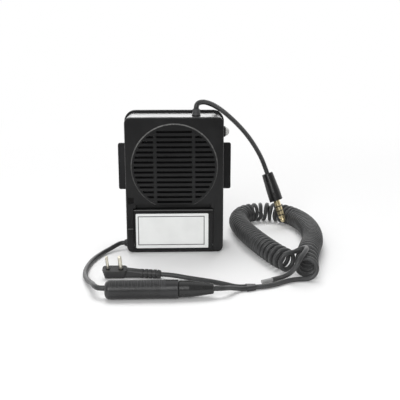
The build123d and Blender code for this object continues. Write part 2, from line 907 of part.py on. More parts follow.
with BuildPart() as paddle_pin:
    with BuildSketch(Plane.YZ.offset(pocket_left - tub_wall)):
        with Locations((hinge_y, hinge_z)):
            Circle(hinge_pin_radius)
    extrude(amount=pocket_right - pocket_left + 2 * tub_wall)
finish(paddle_pin, "paddle_pin")

label_x = paddle_x - paddle_width / 2 + label_side + label_width / 2
with BuildPart() as label_plate:
    with BuildSketch(facing(paddle_front)):
        with Locations((label_x, paddle_bottom + label_rise + label_height / 2)):
            RectangleRounded(label_width, label_height, label_corner)
    extrude(amount=label_thickness)
finish(label_plate, "label_plate")

# Switch behind the paddle, its nut and its plunger
plunger_tip = paddle_back + slip
with BuildPart() as ptt_switch:
    with BuildSketch(facing(tub_back + switch_depth)):
        with Locations((0, switch_z)):
            Rectangle(switch_body, switch_body)
    extrude(amount=switch_depth)
    with BuildSketch(facing(tub_back)):
        with Locations((0, switch_z)):
            Circle(switch_bush_radius)
    extrude(amount=pocket_floor + switch_bush_proud)
    with BuildSketch(facing(plunger_tip + plunger_length + 2)):
        with Locations((0, switch_z)):
            Circle(plunger_radius + running_gap)
    extrude(amount=plunger_length + 2, mode=Mode.SUBTRACT)
finish(ptt_switch, "ptt_switch")

with BuildPart() as switch_nut:
    with BuildSketch(facing(pocket_floor_y)):
        with Locations((0, switch_z)):
            RegularPolygon(switch_nut_radius, 6)
            Circle(switch_bush_radius, mode=Mode.SUBTRACT)
    extrude(amount=switch_nut_thickness)
finish(switch_nut, "switch_nut")

with BuildPart() as ptt_plunger:
    with BuildSketch(facing(plunger_tip + plunger_length)):
        with Locations((0, switch_z)):
            Circle(plunger_radius)
    extrude(amount=plunger_length)
    fillet(ptt_plunger.faces().sort_by(Axis.Y)[0].edges(), plunger_radius / 2)
finish(ptt_plunger, "ptt_plunger")

# Button on the right wall: domed cap, bezel, nut and the switch that it presses
right = (1, 0, 0)
button_origin = (0, button_y, button_z)
button_axis = Axis(button_origin, right)
stem_end_x = bush_end_x + button_travel + slip
dome_base_x = button_base_x + button_skirt
button_top_x = dome_base_x + button_dome
dome_radius = (button_radius**2 + button_dome**2) / (2 * button_dome)
dome_half = math.asin(button_radius / dome_radius) / 2
with BuildPart() as side_button:
    with BuildSketch(lathe_plane(button_origin, right)):
        with BuildLine():
            Polyline(
                (0, button_top_x),
                (0, stem_end_x),
                (button_stem_radius, stem_end_x),
                (button_stem_radius, button_base_x),
                (button_radius, button_base_x),
                (button_radius, dome_base_x),
            )
            ThreePointArc(
                (button_radius, dome_base_x),
                (dome_radius * math.sin(dome_half), button_top_x - dome_radius * (1 - math.cos(dome_half))),
                (0, button_top_x),
            )
        make_face()
    revolve(axis=button_axis)
finish(side_button, "side_button")

with BuildPart() as side_button_bezel:
    with BuildSketch(lathe_plane(button_origin, right)):
        Polygon(
            (button_stem_radius + button_stem_gap, bush_end_x),
            (button_bush_radius, bush_end_x),
            (button_bush_radius, pad_face_x),
            (bezel_radius, pad_face_x),
            (bezel_radius, bezel_x - 0.4),
            (bezel_radius - 0.4, bezel_x),
            (bezel_recess_radius, bezel_x),
            (bezel_recess_radius, bezel_x - bezel_recess),
            (button_stem_radius + button_stem_gap, bezel_x - bezel_recess),
            align=None,
        )
    revolve(axis=button_axis)
finish(side_button_bezel, "side_button_bezel")

with BuildPart() as side_button_nut:
    with BuildSketch(Plane.YZ.offset(pad_inner_x - button_nut_thickness)):
        with Locations((button_y, button_z)):
            RegularPolygon(button_nut_radius, 6)
            Circle(button_bush_radius, mode=Mode.SUBTRACT)
    extrude(amount=button_nut_thickness)
finish(side_button_nut, "side_button_nut")

with BuildPart() as side_switch:
    with BuildSketch(Plane.YZ.offset(bush_end_x - side_switch_length)):
        with Locations((button_y, button_z)):
            Circle(side_switch_radius)
    extrude(amount=side_switch_length)
finish(side_switch, "side_switch")

# Indicator lens and the lamp behind it
with BuildPart() as indicator_lens:
    with BuildSketch(facing(inner_y)):
        with Locations((indicator_x, indicator_z)):
            Rectangle(lens_width, lens_height)
    extrude(amount=wall - indicator_recess)
    with BuildSketch(facing(inner_y + lens_flange_thickness)):
        with Locations((indicator_x, indicator_z)):
            Rectangle(lens_width + 2 * lens_flange, lens_height + 2 * lens_flange)
    extrude(amount=lens_flange_thickness)
finish(indicator_lens, "indicator_lens")

led_front = inner_y + lens_flange_thickness
with BuildPart() as indicator_led:
    with BuildSketch(facing(led_front + led_length)):
        with Locations((led_x, indicator_z)):
            Circle(led_radius)
    extrude(amount=led_length)
    with BuildSketch(facing(board_y)):
        with Locations((led_x, indicator_z - led_radius / 2), (led_x, indicator_z + led_radius / 2)):
            Rectangle(led_leg, led_leg)
    extrude(amount=board_y - led_front - led_length)
finish(indicator_led, "indicator_led")

# Gland of the top lead, its nut, and the grommet of the lower lead
stem_bottom = gland_pad_bottom - gland_nut_thickness - gland_stem_reach
with BuildPart() as top_gland:
    with BuildSketch(Plane.XY.offset(stem_bottom)):
        with Locations((gland_x, gland_y)):
            Circle(gland_stem_radius)
    extrude(amount=gland_pad_top - stem_bottom)
    for (ring_radius, ring_height), ring_z in zip(gland_rings, gland_heights):
        with BuildSketch(Plane.XY.offset(ring_z)):
            with Locations((gland_x, gland_y)):
                Circle(ring_radius)
        extrude(amount=ring_height)
finish(top_gland, "top_gland")

with BuildPart() as top_gland_nut:
    with BuildSketch(Plane.XY.offset(gland_pad_bottom - gland_nut_thickness)):
        with Locations((gland_x, gland_y)):
            RegularPolygon(gland_nut_radius, 6)
            Circle(gland_stem_radius, mode=Mode.SUBTRACT)
    extrude(amount=gland_nut_thickness)
finish(top_gland_nut, "top_gland_nut")

left = (-1, 0, 0)
grommet_origin = (0, grommet_y, grommet_z)
grommet_end = side_x + grommet_reach
with BuildPart() as side_grommet:
    with BuildSketch(lathe_plane(grommet_origin, left)):
        Polygon(
            (0, side_x - grommet_sink),
            (grommet_radius, side_x - grommet_sink),
            (grommet_radius, grommet_end - grommet_tip_length),
            (grommet_tip_radius, grommet_end),
            (0, grommet_end),
            align=None,
        )
    revolve(axis=Axis(grommet_origin, left))
finish(side_grommet, "side_grommet")


# Leads: straight runs joined by tangent arcs
def corner_radii(points):
    """Radius at each corner: 0.45 of its shorter run, over the tangent of half the turn."""
    radii = []
    for before, point, after in zip(points, points[1:], points[2:]):
        into = Vector(*point) - Vector(*before)
        away = Vector(*after) - Vector(*point)
        half_turn = math.radians(into.get_angle(away)) / 2
        radii.append(0.45 * min(into.length, away.length) / math.tan(half_turn))
    return radii


def lead(name, points, diameter):
    """A round lead along a route, with its radii and its volume checked in print."""
    radii = corner_radii(points)
    with BuildPart() as tube:
        with BuildLine() as route:
            FilletPolyline(*points, radius=radii)
        heading = Vector(*points[1]) - Vector(*points[0])
        with BuildSketch(Plane(origin=points[0], z_dir=heading)) as section:
            Circle(diameter / 2)
        sweep()
    length = route.wires()[0].length
    share = tube.part.volume / (section.sketch.area * length)
    print(f"{name}: length {length:.0f}, volume ratio {share:.3f}, radii {[round(r, 1) for r in radii]}")
    return tube


top_lead = lead("top_lead", top_route, top_lead_diameter)
finish(top_lead, "top_lead")
lower_lead = lead("lower_lead", lower_route, lower_lead_diameter)
finish(lower_lead, "lower_lead")
pigtail_lead = lead("pigtail_lead", pigtail_route, lead_diameter)
finish(pigtail_lead, "pigtail_lead")
coil_tail = lead("coil_tail", tail_route, lead_diameter)
finish(coil_tail, "coil_tail")
radio_lead = lead("radio_lead", radio_route, lead_diameter)
finish(radio_lead, "radio_lead")
inline_lead = lead("inline_lead", inline_route, lead_diameter)
finish(inline_lead, "inline_lead")

# Light sleeve on the free end of the upper lead
sleeve_start = Vector(*pigtail_route[-1])
sleeve_along = (sleeve_start - Vector(*pigtail_route[-2])).normalized()
with BuildPart() as pigtail_sleeve:
    with BuildSketch(Plane(origin=sleeve_start, z_dir=sleeve_along)):
        Circle(lead_diameter / 2 - 0.3)
    extrude(amount=sleeve_length)
finish(pigtail_sleeve, "pigtail_sleeve")

# Moulded joint where one lead becomes two
with BuildPart() as lead_splice:
    with BuildSketch(Plane(origin=splice_start, x_dir=splice_beside, z_dir=splice_along)):
        RectangleRounded(lead_diameter + 1.8, lead_diameter + 0.3, 1.5)
    with BuildSketch(Plane(origin=splice_stop, x_dir=splice_beside, z_dir=splice_along)):
        RectangleRounded(2 * lead_diameter + 1.4, lead_diameter + 0.3, 1.5)
    loft()
finish(lead_splice, "lead_splice")

# Curly cord: one wire wound about a line that runs round in a loop
coil_points = [(x, y, coil_z) for x, y in coil_axis_points]
with BuildLine() as coil_axis:
    FilletPolyline(*coil_points, radius=corner_radii(coil_points))
axis_wire = coil_axis.wires()[0]
axis_length = axis_wire.length
axis_steps = 4000
step = axis_length / axis_steps


def pitch_at(distance):
    """Pitch of the curls at a distance along the cord."""
    for (low, low_pitch), (high, high_pitch) in zip(pitch_stations, pitch_stations[1:]):
        if distance <= high:
            return low_pitch + (high_pitch - low_pitch) * (distance - low) / (high - low)
    return pitch_stations[-1][1]


turns_so_far = [0.0]
for index in range(axis_steps):
    turns_so_far.append(turns_so_far[-1] + step / pitch_at(step * (index + 0.5)))
half_turns = 2 * round(turns_so_far[-1] - 0.5) + 1
turn_scale = half_turns / 2 / turns_so_far[-1]


def distance_at(turn):
    """Distance along the cord's line at which so many turns have been made."""
    wanted = turn / turn_scale
    low, high = 0, axis_steps
    while high - low > 1:
        middle = (low + high) // 2
        if turns_so_far[middle] <= wanted:
            low = middle
        else:
            high = middle
    return step * (low + (wanted - turns_so_far[low]) / (turns_so_far[high] - turns_so_far[low]))


def curl_point(turn):
    """Point of the wire's centre line, counted from the top of the first curl."""
    share = distance_at(turn) / axis_length
    centre = axis_wire.position_at(share)
    beside = axis_wire.tangent_at(share).cross(Vector(0, 0, 1))
    angle = math.radians(90 + 360 * turn)
    return centre + beside * (curl_radius * math.cos(angle)) + Vector(0, 0, curl_radius * math.sin(angle))


def curl_heading(turn):
    """Direction of the wire at a turn."""
    nudge = 0.001
    before = curl_point(max(turn - nudge, 0))
    after = curl_point(min(turn + nudge, half_turns / 2))
    return (after - before).normalized()


def biarc(start, start_heading, stop, stop_heading):
    """Two tangent arcs from one point and heading to another."""
    chord = stop - start
    both = start_heading + stop_heading
    spread = 2 * (1 - start_heading.dot(stop_heading))
    along = chord.dot(both)
    reach = (math.sqrt(along * along + spread * chord.dot(chord)) - along) / spread
    first_handle = start + start_heading * reach
    second_handle = stop - stop_heading * reach
    joint = (first_handle + second_handle) * 0.5
    middle_heading = (second_handle - first_handle).normalized()
    return [
        Edge.make_tangent_arc(start, start_heading, joint),
        Edge.make_tangent_arc(joint, middle_heading, stop),
    ]


knots = [curl_point(index / 2) for index in range(half_turns + 1)]
headings = [curl_heading(index / 2) for index in range(half_turns + 1)]
curl_edges = []
for index in range(half_turns):
    curl_edges += biarc(knots[index], headings[index], knots[index + 1], headings[index + 1])
lead_in = knots[0] - headings[0] * wire_diameter
lead_out = knots[-1] + headings[-1] * wire_diameter
curl_edges = [Edge.make_line(lead_in, knots[0])] + curl_edges + [Edge.make_line(knots[-1], lead_out)]
coil_path = Wire(curl_edges)
section_plane = Plane(origin=lead_in, x_dir=curl_edges[1].normal(), z_dir=headings[0])
with BuildPart() as curly_cord:
    with BuildSketch(section_plane) as wire_section:
        RegularPolygon(wire_diameter / 2, wire_sides, rotation=wire_roll)
    sweep(path=coil_path, is_frenet=True)
finish(curly_cord, "curly_cord")
coil_share = curly_cord.part.volume / (wire_section.sketch.area * coil_path.length)
print(f"curly_cord: {half_turns / 2} turns, wire {coil_path.length:.0f} long, volume ratio {coil_share:.3f}")
print("lead in", lead_in, "lead out", lead_out)

# Least gap between neighbouring curls, measured on points of the centre line
samples = 24
trail = [curl_point(index / samples) for index in range(int(half_turns / 2 * samples) + 1)]
least = min(
    (trail[index] - trail[index + skip]).length
    for index in range(len(trail))
    for skip in range(samples - 6, samples + 7)
    if index + skip < len(trail)
)
print(f"curly_cord: least gap between curls {least - wire_diameter:.2f}")

# Inline jack on the lower lead, and the plug pushed into it
with BuildPart() as inline_jack_body:
    with BuildSketch(Plane.YZ.offset(jack_left)):
        with Locations((jack_y, jack_radius)):
            Circle(jack_radius)
    extrude(amount=jack_length)
    fillet(inline_jack_body.faces().sort_by(Axis.X)[0].edges(), jack_round)
    fillet(inline_jack_body.faces().sort_by(Axis.X)[-1].edges(), jack_mouth_round)
    with BuildSketch(Plane.YZ.offset(jack_right)):
        with Locations((jack_y, jack_radius)):
            Circle(bushing_radius)
    extrude(amount=-bushing_length, mode=Mode.SUBTRACT)
    with BuildSketch(Plane.YZ.offset(jack_right - bushing_length)):
        with Locations((jack_y, jack_radius)):
            Circle(contact_radius)
    extrude(amount=-contact_length, mode=Mode.SUBTRACT)
finish(inline_jack_body, "inline_jack_body")

with BuildPart() as inline_jack_bushing:
    with BuildSketch(Plane.YZ.offset(jack_right - bushing_length)):
        with Locations((jack_y, jack_radius)):
            Circle(bushing_radius)
            Circle(plug_radius + plug_bore_gap, mode=Mode.SUBTRACT)
    extrude(amount=bushing_length)
finish(inline_jack_bushing, "inline_jack_bushing")

with BuildPart() as inline_jack_contacts:
    with BuildSketch(Plane.YZ.offset(jack_right - bushing_length - contact_length)):
        with Locations((jack_y, jack_radius)):
            Circle(contact_radius)
            Circle(plug_radius + plug_bore_gap, mode=Mode.SUBTRACT)
    extrude(amount=contact_length)
finish(inline_jack_contacts, "inline_jack_contacts")


def plug_outline():
    """Outline of a plug's metal shaft: radius and height above the handle, with three grooves."""
    outline = [(0, 0), (plug_radius, 0)]
    for place in ring_places:
        outline.append((plug_radius, place))
        outline.append((plug_radius - ring_depth, place))
        outline.append((plug_radius - ring_depth, place + ring_width))
        outline.append((plug_radius, place + ring_width))
    outline.append((plug_radius, plug_length - 4 * plug_tip_round))
    outline.append((plug_neck_radius, plug_length - 3 * plug_tip_round))
    outline.append((plug_radius - 0.2, plug_length - 2 * plug_tip_round))
    outline.append((plug_tip_round, plug_length))
    outline.append((0, plug_length))
    return outline


def plug_shaft(base, heading):
    """The metal shaft of a plug, standing on its handle."""
    with BuildPart() as shaft:
        with BuildSketch(lathe_plane(base, heading)):
            Polygon(*plug_outline(), align=None)
        revolve(axis=Axis(base, heading))
    return shaft


def plug_insulators(base, heading):
    """The three dark rings that part the contacts of a plug."""
    with BuildPart() as rings:
        for place in ring_places:
            with BuildSketch(lathe_plane(base, heading)):
                Polygon(
                    (plug_radius - ring_depth, place),
                    (plug_radius - running_gap, place),
                    (plug_radius - running_gap, place + ring_width),
                    (plug_radius - ring_depth, place + ring_width),
                    align=None,
                )
            revolve(axis=Axis(base, heading))
    return rings


def plug_handle(base, heading, length, radius, tail_radius):
    """A moulded handle that tapers away from the shaft."""
    with BuildPart() as handle:
        with BuildSketch(lathe_plane(base, heading)):
            Polygon(
                (0, 0),
                (radius - 0.6, 0),
                (radius, -0.6),
                (radius, -length * 0.3),
                (tail_radius, 0.8 - length),
                (tail_radius - 0.8, -length),
                (0, -length),
                align=None,
            )
        revolve(axis=Axis(base, heading))
    return handle


inline_base = (jack_right, jack_y, jack_radius)
inline_plug_shaft = plug_shaft(inline_base, left)
finish(inline_plug_shaft, "inline_plug_shaft")
inline_plug_insulators = plug_insulators(inline_base, left)
finish(inline_plug_insulators, "inline_plug_insulators")
inline_plug_handle = plug_handle(inline_base, left, handle_length, handle_radius, handle_tail_radius)
finish(inline_plug_handle, "inline_plug_handle")

# Mask plug, hanging from the top lead with its tip inside the loop of the curly cord
mask_heading = mask_along * -1
mask_plug_shaft = plug_shaft(mask_base, mask_heading)
finish(mask_plug_shaft, "mask_plug_shaft")
mask_plug_insulators = plug_insulators(mask_base, mask_heading)
finish(mask_plug_insulators, "mask_plug_insulators")
mask_plug_handle = plug_handle(
    mask_base,
    mask_heading,
    mask_handle_length,
    mask_handle_radius,
    mask_handle_top_radius,
)
finish(mask_plug_handle, "mask_plug_handle")

# Two-pin radio plug: head, neck and ribbed boot
head_up = Vector(0, -math.sin(math.radians(head_roll)), math.cos(math.radians(head_roll)))
head_plane = Plane(origin=(head_left + head_length / 2, head_y, head_lift), x_dir=right, z_dir=head_up)
pin_heading = head_up * math.cos(math.radians(pin_lean)) - Vector(*right) * math.sin(math.radians(pin_lean))


def pin_base(along):
    """The sunken end of a pin whose axis leaves the head's top so far along it."""
    leaves = head_plane.from_local_coords((along, 0, head_height))
    return leaves - pin_heading * pin_sink


up = (0, 0, 1)
neck_start = Vector(*neck_end) - boot_along * neck_length
boot_length = (Vector(*boot_end) - Vector(*neck_end)).length
with BuildPart() as radio_plug_body:
    with BuildSketch(head_plane):
        RectangleRounded(head_length - 2 * head_foot, head_width - 2 * head_foot, head_corner - 0.6)
    with BuildSketch(head_plane.offset(head_height)):
        RectangleRounded(head_length, head_width, head_corner)
    loft()
    with BuildSketch(Plane(origin=neck_start, x_dir=up, z_dir=boot_along)):
        RectangleRounded(neck_height, neck_width, neck_corner)
    with BuildSketch(Plane(origin=neck_end, x_dir=up, z_dir=boot_along)):
        RectangleRounded(2 * boot_radius - 0.6, 2 * boot_radius - 0.6, boot_radius - 0.6)
    loft()
    for along, radius in ((small_pin_along, small_pin_radius), (large_pin_along, large_pin_radius)):
        with BuildSketch(Plane(origin=pin_base(along), z_dir=pin_heading)):
            Circle(radius)
        extrude(amount=2 * pin_sink, mode=Mode.SUBTRACT)
finish(radio_plug_body, "radio_plug_body")

boot_outline = [(0, 0), (boot_radius, 0)]
groove_step = (boot_length + boot_groove_width) / (boot_grooves + 1)
for index in range(boot_grooves):
    groove_end = (index + 1) * groove_step
    boot_outline.append((boot_radius, groove_end - boot_groove_width))
    boot_outline.append((boot_radius - boot_groove, groove_end - boot_groove_width))
    boot_outline.append((boot_radius - boot_groove, groove_end))
    boot_outline.append((boot_radius, groove_end))
boot_outline.append((boot_radius - 0.6, boot_length))
boot_outline.append((0, boot_length))
with BuildPart() as radio_plug_boot:
    with BuildSketch(lathe_plane(neck_end, boot_along)):
        Polygon(*boot_outline, align=None)
    revolve(axis=Axis(neck_end, boot_along))
finish(radio_plug_boot, "radio_plug_boot")


def radio_pin(along, radius):
    """A round pin that leans a little, with a chamfered end."""
    with BuildPart() as pin:
        with BuildSketch(lathe_plane(pin_base(along), pin_heading)):
            Polygon(
                (0, 0),
                (radius, 0),
                (radius, pin_sink + pin_height - radius * 0.6),
                (radius * 0.5, pin_sink + pin_height),
                (0, pin_sink + pin_height),
                align=None,
            )
        revolve(axis=Axis(pin_base(along), pin_heading))
    return pin


radio_pin_small = radio_pin(small_pin_along, small_pin_radius)
finish(radio_pin_small, "radio_pin_small")
radio_pin_large = radio_pin(large_pin_along, large_pin_radius)
finish(radio_pin_large, "radio_pin_large")

with BuildPart() as radio_pin_collars:
    for along, radius in ((small_pin_along, small_pin_radius), (large_pin_along, large_pin_radius)):
        with BuildSketch(head_plane.offset(head_height)):
            with Locations((along, 0)):
                Circle(radius + pin_collar)
                Circle(radius + 2 * running_gap, mode=Mode.SUBTRACT)
        extrude(amount=pin_collar_height)
finish(radio_pin_collars, "radio_pin_collars")
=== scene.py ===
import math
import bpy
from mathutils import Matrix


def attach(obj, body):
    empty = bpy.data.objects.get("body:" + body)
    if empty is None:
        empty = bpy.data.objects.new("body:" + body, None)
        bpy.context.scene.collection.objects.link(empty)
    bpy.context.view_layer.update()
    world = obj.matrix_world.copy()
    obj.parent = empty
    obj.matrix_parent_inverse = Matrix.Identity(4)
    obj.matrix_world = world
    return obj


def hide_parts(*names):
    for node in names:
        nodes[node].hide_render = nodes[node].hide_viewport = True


bl_info = {
    "name": "Push-to-talk loudspeaker unit",
    "version": (1, 0, 0),
    "blender": (4, 5, 0),
    "location": "3D Viewport > Sidebar > Unit",
    "description": "Leads, ribs and finishes of a push-to-talk loudspeaker box, and its stage",
    "category": "Object",
}

import bpy
from bpy.props import FloatProperty, FloatVectorProperty, IntProperty, PointerProperty
from mathutils import Matrix, Vector

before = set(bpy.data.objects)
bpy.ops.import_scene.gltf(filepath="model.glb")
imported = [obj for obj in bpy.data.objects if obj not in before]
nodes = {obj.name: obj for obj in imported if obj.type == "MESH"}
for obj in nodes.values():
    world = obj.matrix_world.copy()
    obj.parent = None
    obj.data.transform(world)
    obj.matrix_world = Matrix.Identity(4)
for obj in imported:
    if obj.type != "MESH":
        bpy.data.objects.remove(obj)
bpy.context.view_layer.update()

MM = 0.001
UNIT = "unit"
UP = Vector((0, 0, 1))

# Places that the leads, the ribs and their pieces share, in millimetres as in the CAD source
GLAND = Vector((21.8, -8.0, 142.35))
GROMMET_END = Vector((-51.5, -10.5, 6.6))
JACK_Y = -144.3
JACK_Z = 7.9
JACK_LEFT = -57.6
RIBS_LEFT = JACK_LEFT + 5.0
LOWER_END = Vector((JACK_LEFT, -143.3, 9.0))
HANDLE_END = 32.6
MASK_TIP = Vector((122.4, 62.0, 6.8))
MASK_ALONG = Vector((-0.3137, 0.236, 0.9196)).normalized()
MASK_TOP = MASK_TIP + MASK_ALONG * 58.0
NECK_END = Vector((-30.6, -95.0, 4.1))
BOOT_END = Vector((-12.6, -98.5, 4.2))
BOOT_ALONG = (BOOT_END - NECK_END).normalized()
SPLICE_START = Vector((69.4, -127.1, 2.2))
SPLICE_ALONG = (SPLICE_START - Vector((74.6, -126.4, 2.2))).normalized()
SPLICE_BESIDE = SPLICE_ALONG.cross(UP)
SPLICE_STOP = SPLICE_START + SPLICE_ALONG * 8.0
RADIO_START = SPLICE_STOP + SPLICE_BESIDE * 2.2
INLINE_START = SPLICE_STOP - SPLICE_BESIDE * 2.2

# Routes of the leads, as control points of their splines
TOP_ROUTE = [
    GLAND,
    (21.8, -8.0, 145.2),
    (24.2, -5.7, 148.1),
    (30.6, 0.0, 148.2),
    (39.4, 10.0, 144.2),
    (48.6, 25.0, 137.4),
    (57.2, 34.5, 129.8),
    (68.6, 46.0, 118.6),
    (80.6, 58.0, 104.6),
    (91.6, 70.6, 88.2),
    MASK_TOP + MASK_ALONG * 14.0,
    MASK_TOP,
]
LOWER_ROUTE = [
    GROMMET_END,
    (-54.6, -10.5, 6.6),
    (-58.8, -13.6, 5.6),
    (-63.8, -19.6, 4.0),
    (-70.6, -28.4, 2.6),
    (-77.2, -44.4, 2.4),
    (-80.8, -61.4, 2.4),
    (-82.0, -79.7, 2.4),
    (-80.6, -95.0, 2.6),
    (-77.2, -107.6, 3.6),
    (-73.4, -118.4, 5.2),
    (-70.4, -126.2, 7.0),
    (-68.6, -132.6, 8.3),
    (-66.6, -138.6, 8.9),
    (-62.8, LOWER_END.y, LOWER_END.z),
    LOWER_END,
]
RADIO_ROUTE = [
    RADIO_START,
    RADIO_START + SPLICE_ALONG * 5.0,
    (50.4, -124.4, 2.2),
    (44.0, -119.6, 2.2),
    (34.4, -113.6, 2.2),
    (22.3, -107.9, 2.2),
    (10.5, -103.4, 2.6),
    BOOT_END + BOOT_ALONG * 10.0,
    BOOT_END,
]
INLINE_ROUTE = [
    INLINE_START,
    INLINE_START + SPLICE_ALONG * 5.0,
    (50.8, -134.2, 4.2),
    (45.6, -139.2, 6.4),
    (41.6, -143.0, 7.6),
    (36.6, JACK_Y, JACK_Z),
    (HANDLE_END, JACK_Y, JACK_Z),
]
TAIL_ROUTE = [
    SPLICE_START,
    (74.6, -126.4, 2.2),
    (81.2, -124.4, 2.2),
    (88.4, -120.6, 2.2),
    (96.0, -115.0, 2.2),
    (102.6, -111.2, 2.2),
    (108.6, -109.2, 2.2),
    (112.7, -108.9, 2.2),
]
PIGTAIL_ROUTE = [
    (109.0, -85.6, 19.6),
    (113.2, -84.2, 21.4),
    (117.6, -86.8, 24.4),
    (119.0, -92.8, 26.2),
    (117.6, -99.6, 26.6),
    (114.2, -106.4, 25.6),
    (109.8, -112.2, 22.4),
    (106.1, -114.8, 16.4),
    (102.9, -112.6, 10.0),
    (98.0, -108.6, 4.9),
    (91.8, -107.4, 2.4),
    (86.0, -110.0, 2.2),
]

# The curly cord: its middle line from above, the relative pitch of its curls at distances along
# that line, its gap over the table, where its first curl starts and the steps that count its turns
COIL_AXIS = [
    (105, -87),
    (97.5, -73),
    (88.8, -46),
    (80, -15),
    (73, 16),
    (69, 50),
    (76, 79),
    (92, 92),
    (109, 93),
    (125, 85),
    (136, 67),
    (143, 37),
    (143, 5),
    (138.5, -25),
    (129.8, -51),
    (123.6, -74),
    (119.2, -94),
    (116.9, -108.7),
]
PITCH_STATIONS = [
    (0, 9.0),
    (20, 8.0),
    (42, 6.8),
    (62, 5.9),
    (80, 5.5),
    (112, 5.6),
    (136, 6.4),
    (154, 7.45),
    (240, 7.45),
    (250, 6.2),
    (264, 5.6),
    (280, 5.3),
    (368, 5.1),
    (380, 8.0),
    (394, 11.0),
    (430, 11.0),
]
COIL_LIFT = 0.1
CURL_START = math.radians(90)
COIL_STEPS = 4000

# Places on the box that its finishes mark, in metres
FACE = 0.0225
GRILLE_Z = 0.087
RING_RADIUS = 0.0421
PADDLE_LIP_Z = 0.0437
LEDGE_X = 0.0408
LEDGE_Z = 0.0247
HOLE_X = -0.0434
HOLE_Z = 0.0535
HOLE_HALF = 0.003
SIDE_X = 0.0477
CROWN_Z = 0.1346
LABEL_X = -0.0036
LABEL_Z = 0.02275
LABEL_LINE_X = 0.0327
LABEL_LINE_Z = 0.01455
JACK_RIBS_X = (-0.054, -0.007)
JACK_RIBS_Z = (0.0112, 0.0145)
JACK_STRIPE = 0.0015

# Sides of a rib's ring and of its section
RING_SIDES = 48
RIB_SIDES = 8

# The stage, in metres
FLOOR_Z = -0.0002
FLOOR_MIDDLE_X = 0.03
GLOW_FROM = 0.3
GLOW_TO = 1.1
CAMERA_PLACE = (0.0044, -0.6677, 0.2123)
SENSOR_WIDTH = 36.0
WHITE = (1, 1, 1, 1)


class LeadSizes(bpy.types.PropertyGroup):
    """Sizes of the leads and of the curly cord."""

    lead: FloatProperty(
        name="Lead",
        description="Diameter of the thin leads",
        default=0.0042,
        min=0.003,
        max=0.006,
        unit="LENGTH",
    )
    lower_lead: FloatProperty(
        name="Lower lead",
        description="Diameter of the lead from the box's side",
        default=0.0045,
        unit="LENGTH",
    )
    top_lead: FloatProperty(
        name="Top lead",
        description="Diameter of the lead from the box's top",
        default=0.005,
        unit="LENGTH",
    )
    curl_radius: FloatProperty(
        name="Curl radius",
        description="Radius of the curls' centre line",
        default=0.0087,
        unit="LENGTH",
    )
    half_turns: IntProperty(
        name="Half turns",
        description="Half turns of the curly cord",
        default=131,
        min=1,
    )
    curl_points: IntProperty(
        name="Points a turn",
        description="Control points in each curl",
        default=16,
        min=12,
    )


class RibSizes(bpy.types.PropertyGroup):
    """Sizes of the fine ribs on the jack."""

    jack_ribs: IntProperty(
        name="Jack ribs",
        description="Fine ribs round the jack",
        default=44,
        min=1,
    )
    jack_pitch: FloatProperty(
        name="Jack pitch",
        description="Distance between the jack's ribs",
        default=0.00095,
        unit="LENGTH",
    )
    jack_rib: FloatProperty(
        name="Jack rib",
        description="Thickness of one fine rib",
        default=0.0005,
        unit="LENGTH",
    )


class ShellColours(bpy.types.PropertyGroup):
    """Colours of the main finishes."""

    housing: FloatVectorProperty(
        name="Housing",
        description="Moulded housing and paddle",
        subtype="COLOR",
        size=3,
        default=(0.0065, 0.0065, 0.0068),
    )
    cover: FloatVectorProperty(
        name="Cover",
        description="Rear cover and bracket",
        subtype="COLOR",
        size=3,
        default=(0.016, 0.016, 0.017),
    )
    jacket: FloatVectorProperty(
        name="Jacket",
        description="Jacket of the leads",
        subtype="COLOR",
        size=3,
        default=(0.03, 0.0305, 0.031),
    )
    label: FloatVectorProperty(
        name="Label",
        description="White label",
        subtype="COLOR",
        size=3,
        default=(0.83, 0.84, 0.83),
    )
    plug: FloatVectorProperty(
        name="Plug metal",
        description="Bright plating of plugs",
        subtype="COLOR",
        size=3,
        default=(0.78, 0.66, 0.4),
    )


class StageSizes(bpy.types.PropertyGroup):
    """The floor, the lamps and the camera."""

    lens: FloatProperty(
        name="Lens",
        description="Focal length of the camera",
        default=60.48,
        unit="CAMERA",
    )
    pitch: FloatProperty(
        name="Pitch",
        description="How far the camera looks down",
        default=math.radians(13.8),
        unit="ROTATION",
    )
    yaw: FloatProperty(
        name="Yaw",
        description="How far the camera looks to the right",
        default=math.radians(1.83),
        unit="ROTATION",
    )
    floor: FloatProperty(
        name="Floor",
        description="Width of the floor",
        default=8.0,
        unit="LENGTH",
    )
    floor_front: FloatProperty(
        name="Floor's edge",
        description="Where the floor ends in front",
        default=-0.36,
        unit="LENGTH",
    )
    sky: FloatProperty(
        name="Sky",
        description="Strength of the room's light on the object",
        default=0.26,
        min=0,
    )
    sun: FloatProperty(
        name="Overhead",
        description="Strength of the broad overhead light",
        default=2.1,
        min=0,
    )
    back_power: FloatProperty(
        name="Back lamp",
        description="Power of the lamp behind",
        default=8.0,
        unit="POWER",
    )
    low_power: FloatProperty(
        name="Low lamp",
        description="Power of the low lamp in front",
        default=6.5,
        unit="POWER",
    )
    front_power: FloatProperty(
        name="Front lamp",
        description="Power of the lamp in front",
        default=10.5,
        unit="POWER",
    )
    floor_glow: FloatProperty(
        name="Floor glow",
        description="What lifts the floor to white",
        default=0.06,
        min=0,
    )


